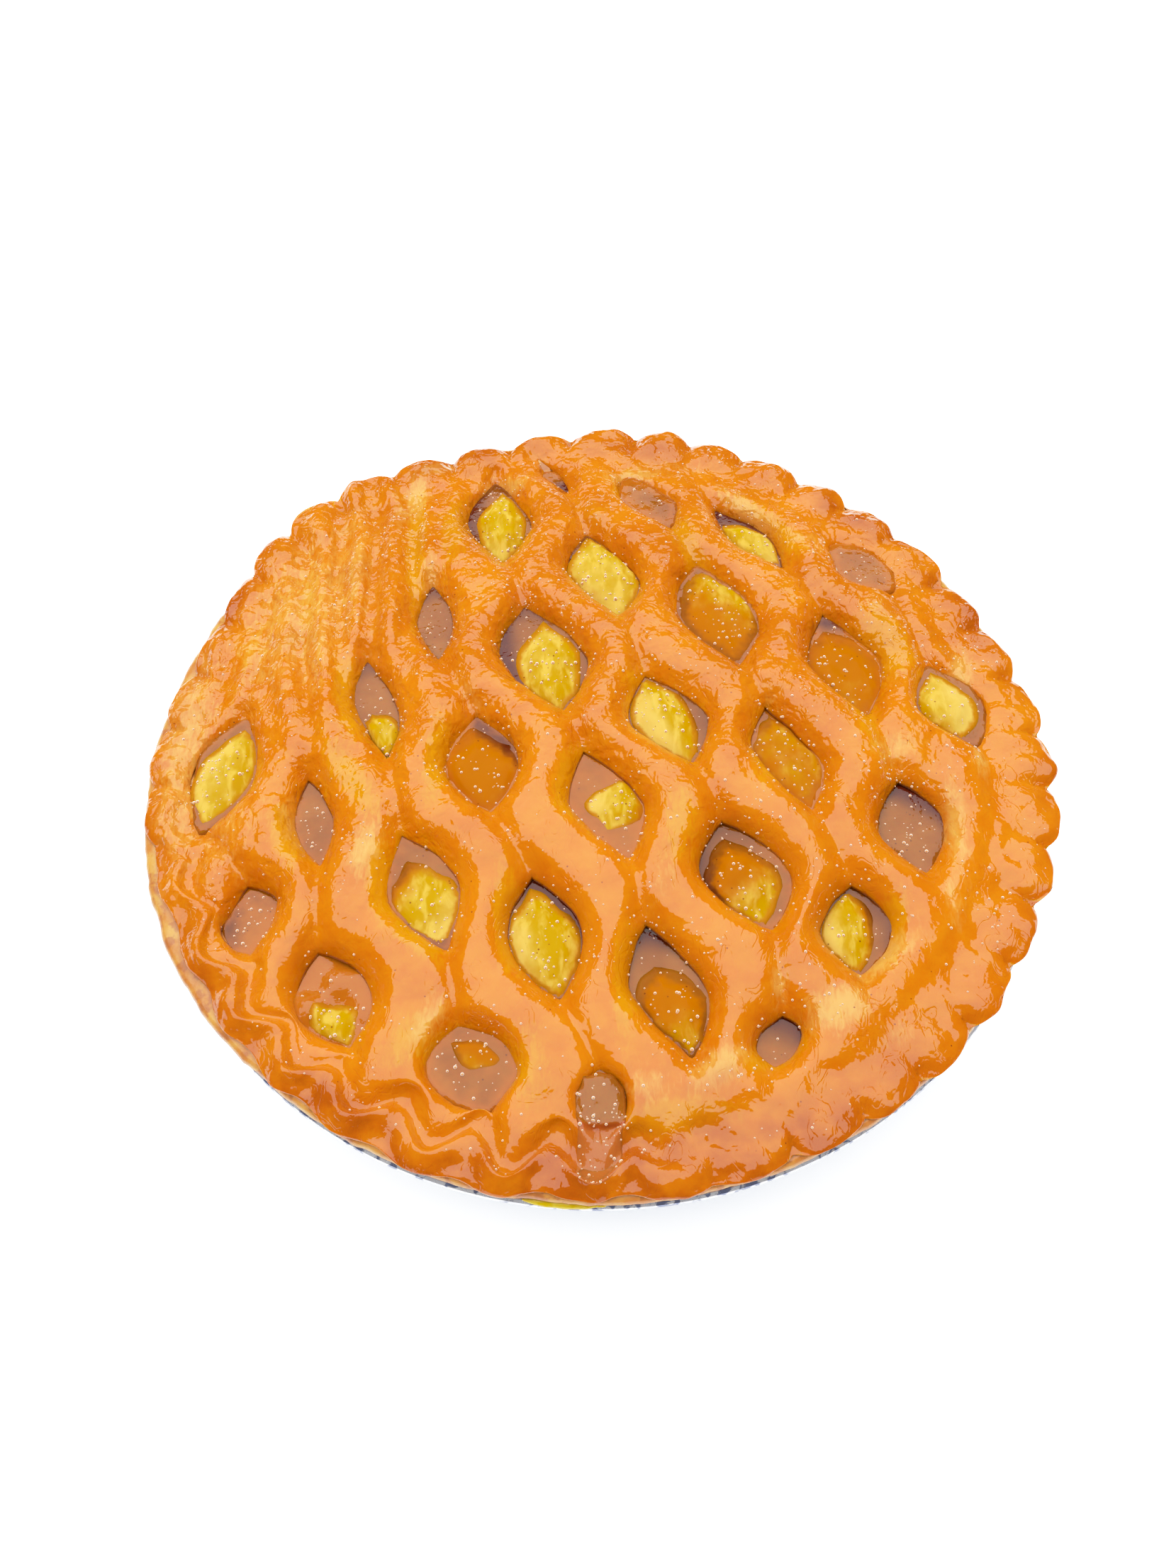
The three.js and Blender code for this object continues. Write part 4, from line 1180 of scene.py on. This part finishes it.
def tin_sector():
    """Mesh of one pleat, a slice of the tin's wall and base."""
    points, folds, lips = [], [], []
    for step in range(ACROSS + 1):
        angle = (step / ACROSS - 0.5) * 2 * math.pi / PLEATS
        wave = math.cos(2 * math.pi * step / ACROSS)
        for r, z, pleat in TIN:
            bulged = r + pleat * (wave * PLEAT_DEEP / 2)
            points.append((bulged * math.cos(angle), bulged * math.sin(angle), z))
            folds.append(pleat * (1 - wave) / 2)
            lips.append(float(r > LIP_R))
    count = len(TIN)
    faces = [(start + k + 1, start + count + k + 1, start + count + k, start + k)
             for start in range(0, ACROSS * count, count) for k in range(count - 1)]
    return mesh_of("tin sector", points, faces, fold=folds, lip=lips)


# %% Helpers for Geometry Nodes
def node_group(name, inputs):
    """A Geometry Nodes tree with a geometry in and out and the named inputs: name, kind, default."""
    group = bpy.data.node_groups.new(name, "GeometryNodeTree")
    group.interface.new_socket("Geometry", in_out="INPUT", socket_type="NodeSocketGeometry")
    group.interface.new_socket("Geometry", in_out="OUTPUT", socket_type="NodeSocketGeometry")
    for label, kind, default in inputs:
        socket = group.interface.new_socket(label, in_out="INPUT", socket_type=kind)
        socket.default_value = default
    return group, add(group, "NodeGroupInput").outputs


def grow(name, mesh, group, values):
    """Runs a node group on a mesh and returns the result as a plain mesh object."""
    carrier = bpy.data.objects.new(name + " carrier", mesh)
    bpy.context.scene.collection.objects.link(carrier)
    modifier = carrier.modifiers.new("nodes", "NODES")
    modifier.node_group = group
    for item in group.interface.items_tree:
        if item.item_type == "SOCKET" and item.in_out == "INPUT" and item.name in values:
            modifier[item.identifier] = values[item.name]
    evaluated = carrier.evaluated_get(bpy.context.evaluated_depsgraph_get())
    result = bpy.data.meshes.new_from_object(evaluated)
    carrier.modifiers.remove(modifier)
    bpy.data.objects.remove(carrier)
    result.name = name
    piece = bpy.data.objects.new(name, result)
    bpy.context.scene.collection.objects.link(piece)
    print(name + ":", len(result.polygons), "faces")
    return piece


# %% [markdown]
# ## The tin, pleat by pleat
#
# The tree makes one point for each pleat, puts the sector on every point, turns each by its own
# share of the circle, and welds the seams.

# %% The tin
group, given = node_group("pleats round a tin", [
    ("Pleats", "NodeSocketInt", 72), ("Weld", "NodeSocketFloat", 1e-5),
    ("Finish", "NodeSocketMaterial", None)])
stand = add(group, "GeometryNodePoints", {"Count": given["Pleats"]})
number_of = add(group, "GeometryNodeInputIndex").outputs[0]
step = sums(group, "DIVIDE", 2 * math.pi, given["Pleats"])
turn = add(group, "ShaderNodeCombineXYZ", {"Z": sums(group, "MULTIPLY", number_of, step)})
copies = add(group, "GeometryNodeInstanceOnPoints", {
    "Points": stand.outputs[0], "Instance": given["Geometry"], "Rotation": turn.outputs[0]})
whole = add(group, "GeometryNodeRealizeInstances", {"Geometry": copies.outputs[0]})
welded = add(group, "GeometryNodeMergeByDistance", {"Geometry": whole.outputs[0], "Distance": given["Weld"]})
dressed = add(group, "GeometryNodeSetMaterial", {"Geometry": welded.outputs[0], "Material": given["Finish"]})
add(group, "NodeGroupOutput", {"Geometry": dressed.outputs[0]})

foil_tin = grow("foil_tin", tin_sector(), group, {"Pleats": PLEATS, "Weld": 0.02 * MM, "Finish": foil})
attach(foil_tin, "root")
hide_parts("tin")

# %% [markdown]
# ## What boiled over
#
# Two pieces of the filling got out. At the near end a slit is brim-full, and its gel ran over
# the dough and down the rim: a thin pink-brown sheet with a red step where it leaves the slit.
# Below it, clear yellow syrup came out between the crust and the tin and set on the tin's rim.

# %% The spill
# Outline of the spill on the lid's flat map, and the line below which it thins out.
SPILL = [
    (-3.4, -75.8), (-4.9, -78.5), (-5.1, -82), (-4.9, -85.2), (-5.0, -89), (-5.2, -92),
    (-5.2, -95.5), (-3, -97.6), (1.5, -97.4), (3.8, -95), (3.9, -90.5), (4.2, -86.8), (4.8, -84.5),
    (5, -81.5), (4.4, -78), (2.2, -75.4), (-1, -74.8),
]
SPILL_STEP = -85.2
SPILL_RINGS, SPILL_SKIRT = 12, 0.8
SPILL_CORE = np.array([-0.6, -85.0])
SPILL_LOW, SPILL_HIGH = 0.45, 0.75  # thickness below the step, and how much more above it
OVER_DOUGH = 2.6  # the sheet lies as on dough this far from an opening, also over the slit

run_over, tree, shader, spot = gel_body("run-over gel", {})
colour = blend(tree, value_of(tree, "thin"), gel_colour(tree, spot), linear("#9c5620"))
tree.links.new(blend(tree, value_of(tree, "step"), colour, linear("#8e3a0e")), shader.inputs["Base Color"])
tree.links.new(bump(tree, noise(tree, spot, 1.8, 2), 0.25), shader.inputs["Coat Normal"])

corners = np.array(SPILL)
corner_numbers = range(len(corners) + 1)
stops = np.linspace(0, len(corners), 91)[:-1]
outline = np.column_stack([np.interp(stops, corner_numbers, np.append(corners[:, k], corners[0, k]))
                           for k in (0, 1)])
outline = outline + 0.3 * stir(outline, 2, 61, 62)
flat, deep_in = shrunk_rings(outline, SPILL_CORE, SPILL_RINGS, 0.95)
gap, _ = relief(flat)
laid = lid_points(flat, np.maximum(gap, OVER_DOUGH), np.zeros(len(flat)))
level, deep, warm = gel_level(flat)
above = smooth(flat[:, 1], SPILL_STEP - 0.5, SPILL_STEP + 0.5)
thick = (SPILL_LOW + SPILL_HIGH * above) * np.sqrt(np.clip(deep_in * 2.5, 0, 1)) - 0.15
laid[:, 2] += thick + 0.08 * ripple(flat, 1.5, 63)
red_step = 0.8 * np.exp(-((flat[:, 1] - SPILL_STEP) / 0.5) ** 2)
spill = lay_in_gel("spilled_gel", laid, len(outline), SPILL_SKIRT, run_over, 1.0 * (deep_in > 0),
                   deep=deep, warm=warm, thin=1 - above, step=red_step)
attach(spill, "root")
print("spill:", len(spill.data.polygons), "faces")

# %% [markdown]
# ## What leaked out
#
# Syrup without flour in it is clear and yellow. The bead is a bent tube that starts and ends
# thin and is uneven between.

# %% The leak
LEAK_FROM, LEAK_TO, LEAK_R, LEAK_Z = -99.0, -89.5, 98.9, 25.0
LEAK_THIN, LEAK_MORE = 0.15, 0.75  # radius at the ends, and how much more in the middle
LEAK_STEPS, LEAK_SIDES = 36, 10
syrup, tree, shader, spot = gel_body("clear apple syrup", {})
cloudy = span(tree, noise(tree, spot, 2, 2), 0.35, 0.65)
tree.links.new(blend(tree, cloudy, linear("#b49a04"), linear("#c0a834")), shader.inputs["Base Color"])
tree.links.new(bump(tree, noise(tree, spot, 1.2, 2), 0.3), shader.inputs["Coat Normal"])

points = []
for step in np.linspace(0, 1, LEAK_STEPS):
    angle = math.radians(LEAK_FROM + (LEAK_TO - LEAK_FROM) * step)
    thick = LEAK_THIN + LEAK_MORE * math.sin(math.pi * step) ** 0.5
    thick *= 1 + 0.35 * ripple(np.array([[40 * angle, 0]]), 0.8, 65)[0]
    for side in np.linspace(0, 2 * math.pi, LEAK_SIDES + 1)[:-1]:
        r, z = LEAK_R + 1.2 * thick * math.cos(side), LEAK_Z + thick * math.sin(side)
        points.append((r * math.cos(angle), r * math.sin(angle), z))
last = (LEAK_STEPS - 1) * LEAK_SIDES
faces = ring_faces(LEAK_STEPS, LEAK_SIDES)
faces += [tuple(reversed(range(LEAK_SIDES))), tuple(range(last, last + LEAK_SIDES))]
leak = make_piece("leaked_syrup", points, [tuple(reversed(face)) for face in faces], syrup)
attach(leak, "root")
print("leak:", len(leak.data.polygons), "faces")

# %% [markdown]
# ## Bubbles in the glaze
#
# Boiling and brushing leave tiny air bubbles in the glaze, thickest in the gel and beside the
# openings. There are a few thousand, so Geometry Nodes scatters them: points fall on the skin
# at random, more of them where the stored value `wet` is high, and each gets a small ball half
# sunk into the skin. A bubble is a film over air: its middle shows the colour below it, and its
# rim, seen edge on, gets a painted near-white reflection.

# %% A bubble's film
bubble, tree, shader, spot = finish("air bubble in glaze", {
    "Roughness": 0.2, "Coat Weight": 1.0, "Coat Roughness": 0.05, "Coat IOR": 1.46})
# The rim's near-white is a painted reflection, strongest where the ball is seen edge on.
facing = add(tree, "ShaderNodeLayerWeight", {"Blend": 0.35}).outputs["Facing"]
rim = span(tree, facing, 0.05, 0.45)
tree.links.new(blend(tree, rim, linear("#c08048"), linear("#fff4ea")), shader.inputs["Base Color"])

# %% Bubbles scattered in a skin
group, given = node_group("bubbles in a skin", [
    ("Per square metre", "NodeSocketFloat", 6e4), ("Smallest", "NodeSocketFloat", 1.6e-4),
    ("Largest", "NodeSocketFloat", 5e-4), ("Seed", "NodeSocketInt", 4),
    ("Finish", "NodeSocketMaterial", None)])
wet = add(group, "GeometryNodeInputNamedAttribute", {"Name": "wet"}, data_type="FLOAT").outputs[0]
density = sums(group, "MULTIPLY", wet, given["Per square metre"])
fall = add(group, "GeometryNodeDistributePointsOnFaces", {
    "Mesh": given["Geometry"], "Density": density, "Seed": given["Seed"]})
chance = add(group, "FunctionNodeRandomValue", {2: 0.0, 3: 1.0, "Seed": given["Seed"]}, data_type="FLOAT")
few_large = sums(group, "POWER", chance.outputs[1], 3.0)
radius = add(group, "ShaderNodeMapRange", {
    "Value": few_large, "To Min": given["Smallest"], "To Max": given["Largest"]})
ball = add(group, "GeometryNodeMeshUVSphere", {"Segments": 8, "Rings": 5, "Radius": 1.0})
balls = add(group, "GeometryNodeInstanceOnPoints", {
    "Points": fall.outputs["Points"], "Instance": ball.outputs["Mesh"],
    "Rotation": fall.outputs["Rotation"], "Scale": radius.outputs["Result"]})
whole = add(group, "GeometryNodeRealizeInstances", {"Geometry": balls.outputs[0]})
smoothed = add(group, "GeometryNodeSetShadeSmooth", {"Geometry": whole.outputs[0]})
dressed = add(group, "GeometryNodeSetMaterial", {
    "Geometry": smoothed.outputs[0], "Material": given["Finish"]})
add(group, "NodeGroupOutput", {"Geometry": dressed.outputs[0]})

# %% [markdown]
# ## Where the bubbles fall
#
# The glaze has its bubbles in drifts and beside the openings, and none over the rim. The gel and
# the apple are one skin for this, so that the second run covers the filling, every apple piece
# and the spill.

# %% Bubbles
SMALLEST_BUBBLE = 1.3e-4  # metres, as all sizes in a node tree
lid_wet = 0.22 + 0.9 * smooth(ripple(top[:, :2], 13, 70), 0.15, 0.8) + 0.5 * smooth(-top_gap, -3.5, -0.5)
lid_wet = lid_wet * (1 - smooth(map_r, 95, 99))
drifts = 0.4 + 0.6 * smooth(ripple(fill_flat, 9, 71), -0.2, 0.5)
wet_skins.append((fill_top, fill_faces, 0.9 * smooth(-relief(fill_flat)[0], 0.6, 1.0) * drifts))
skin_points, skin_faces, skin_wet = zip(*wet_skins)
starts = np.cumsum([0] + [len(points) for points in skin_points])
filling_faces = [[start + k for k in face] for start, faces in zip(starts, skin_faces) for face in faces]

glaze_skin = mesh_of("skin", top, top_faces, wet=lid_wet)
filling_skin = mesh_of("skin", np.vstack(skin_points), filling_faces, wet=np.concatenate(skin_wet))
for name, slot, seed, per_square_metre, largest, skin in (
        ("glaze_bubbles", "glazed_crust", 4, 1.3e5, 3.4e-4, glaze_skin),
        ("gel_bubbles", "gelled_filling", 5, 3.2e5, 4.4e-4, filling_skin)):
    bubbles = grow(name, skin, group, {
        "Per square metre": per_square_metre, "Smallest": SMALLEST_BUBBLE, "Largest": largest,
        "Seed": seed, "Finish": bubble})
    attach(bubbles, "root")
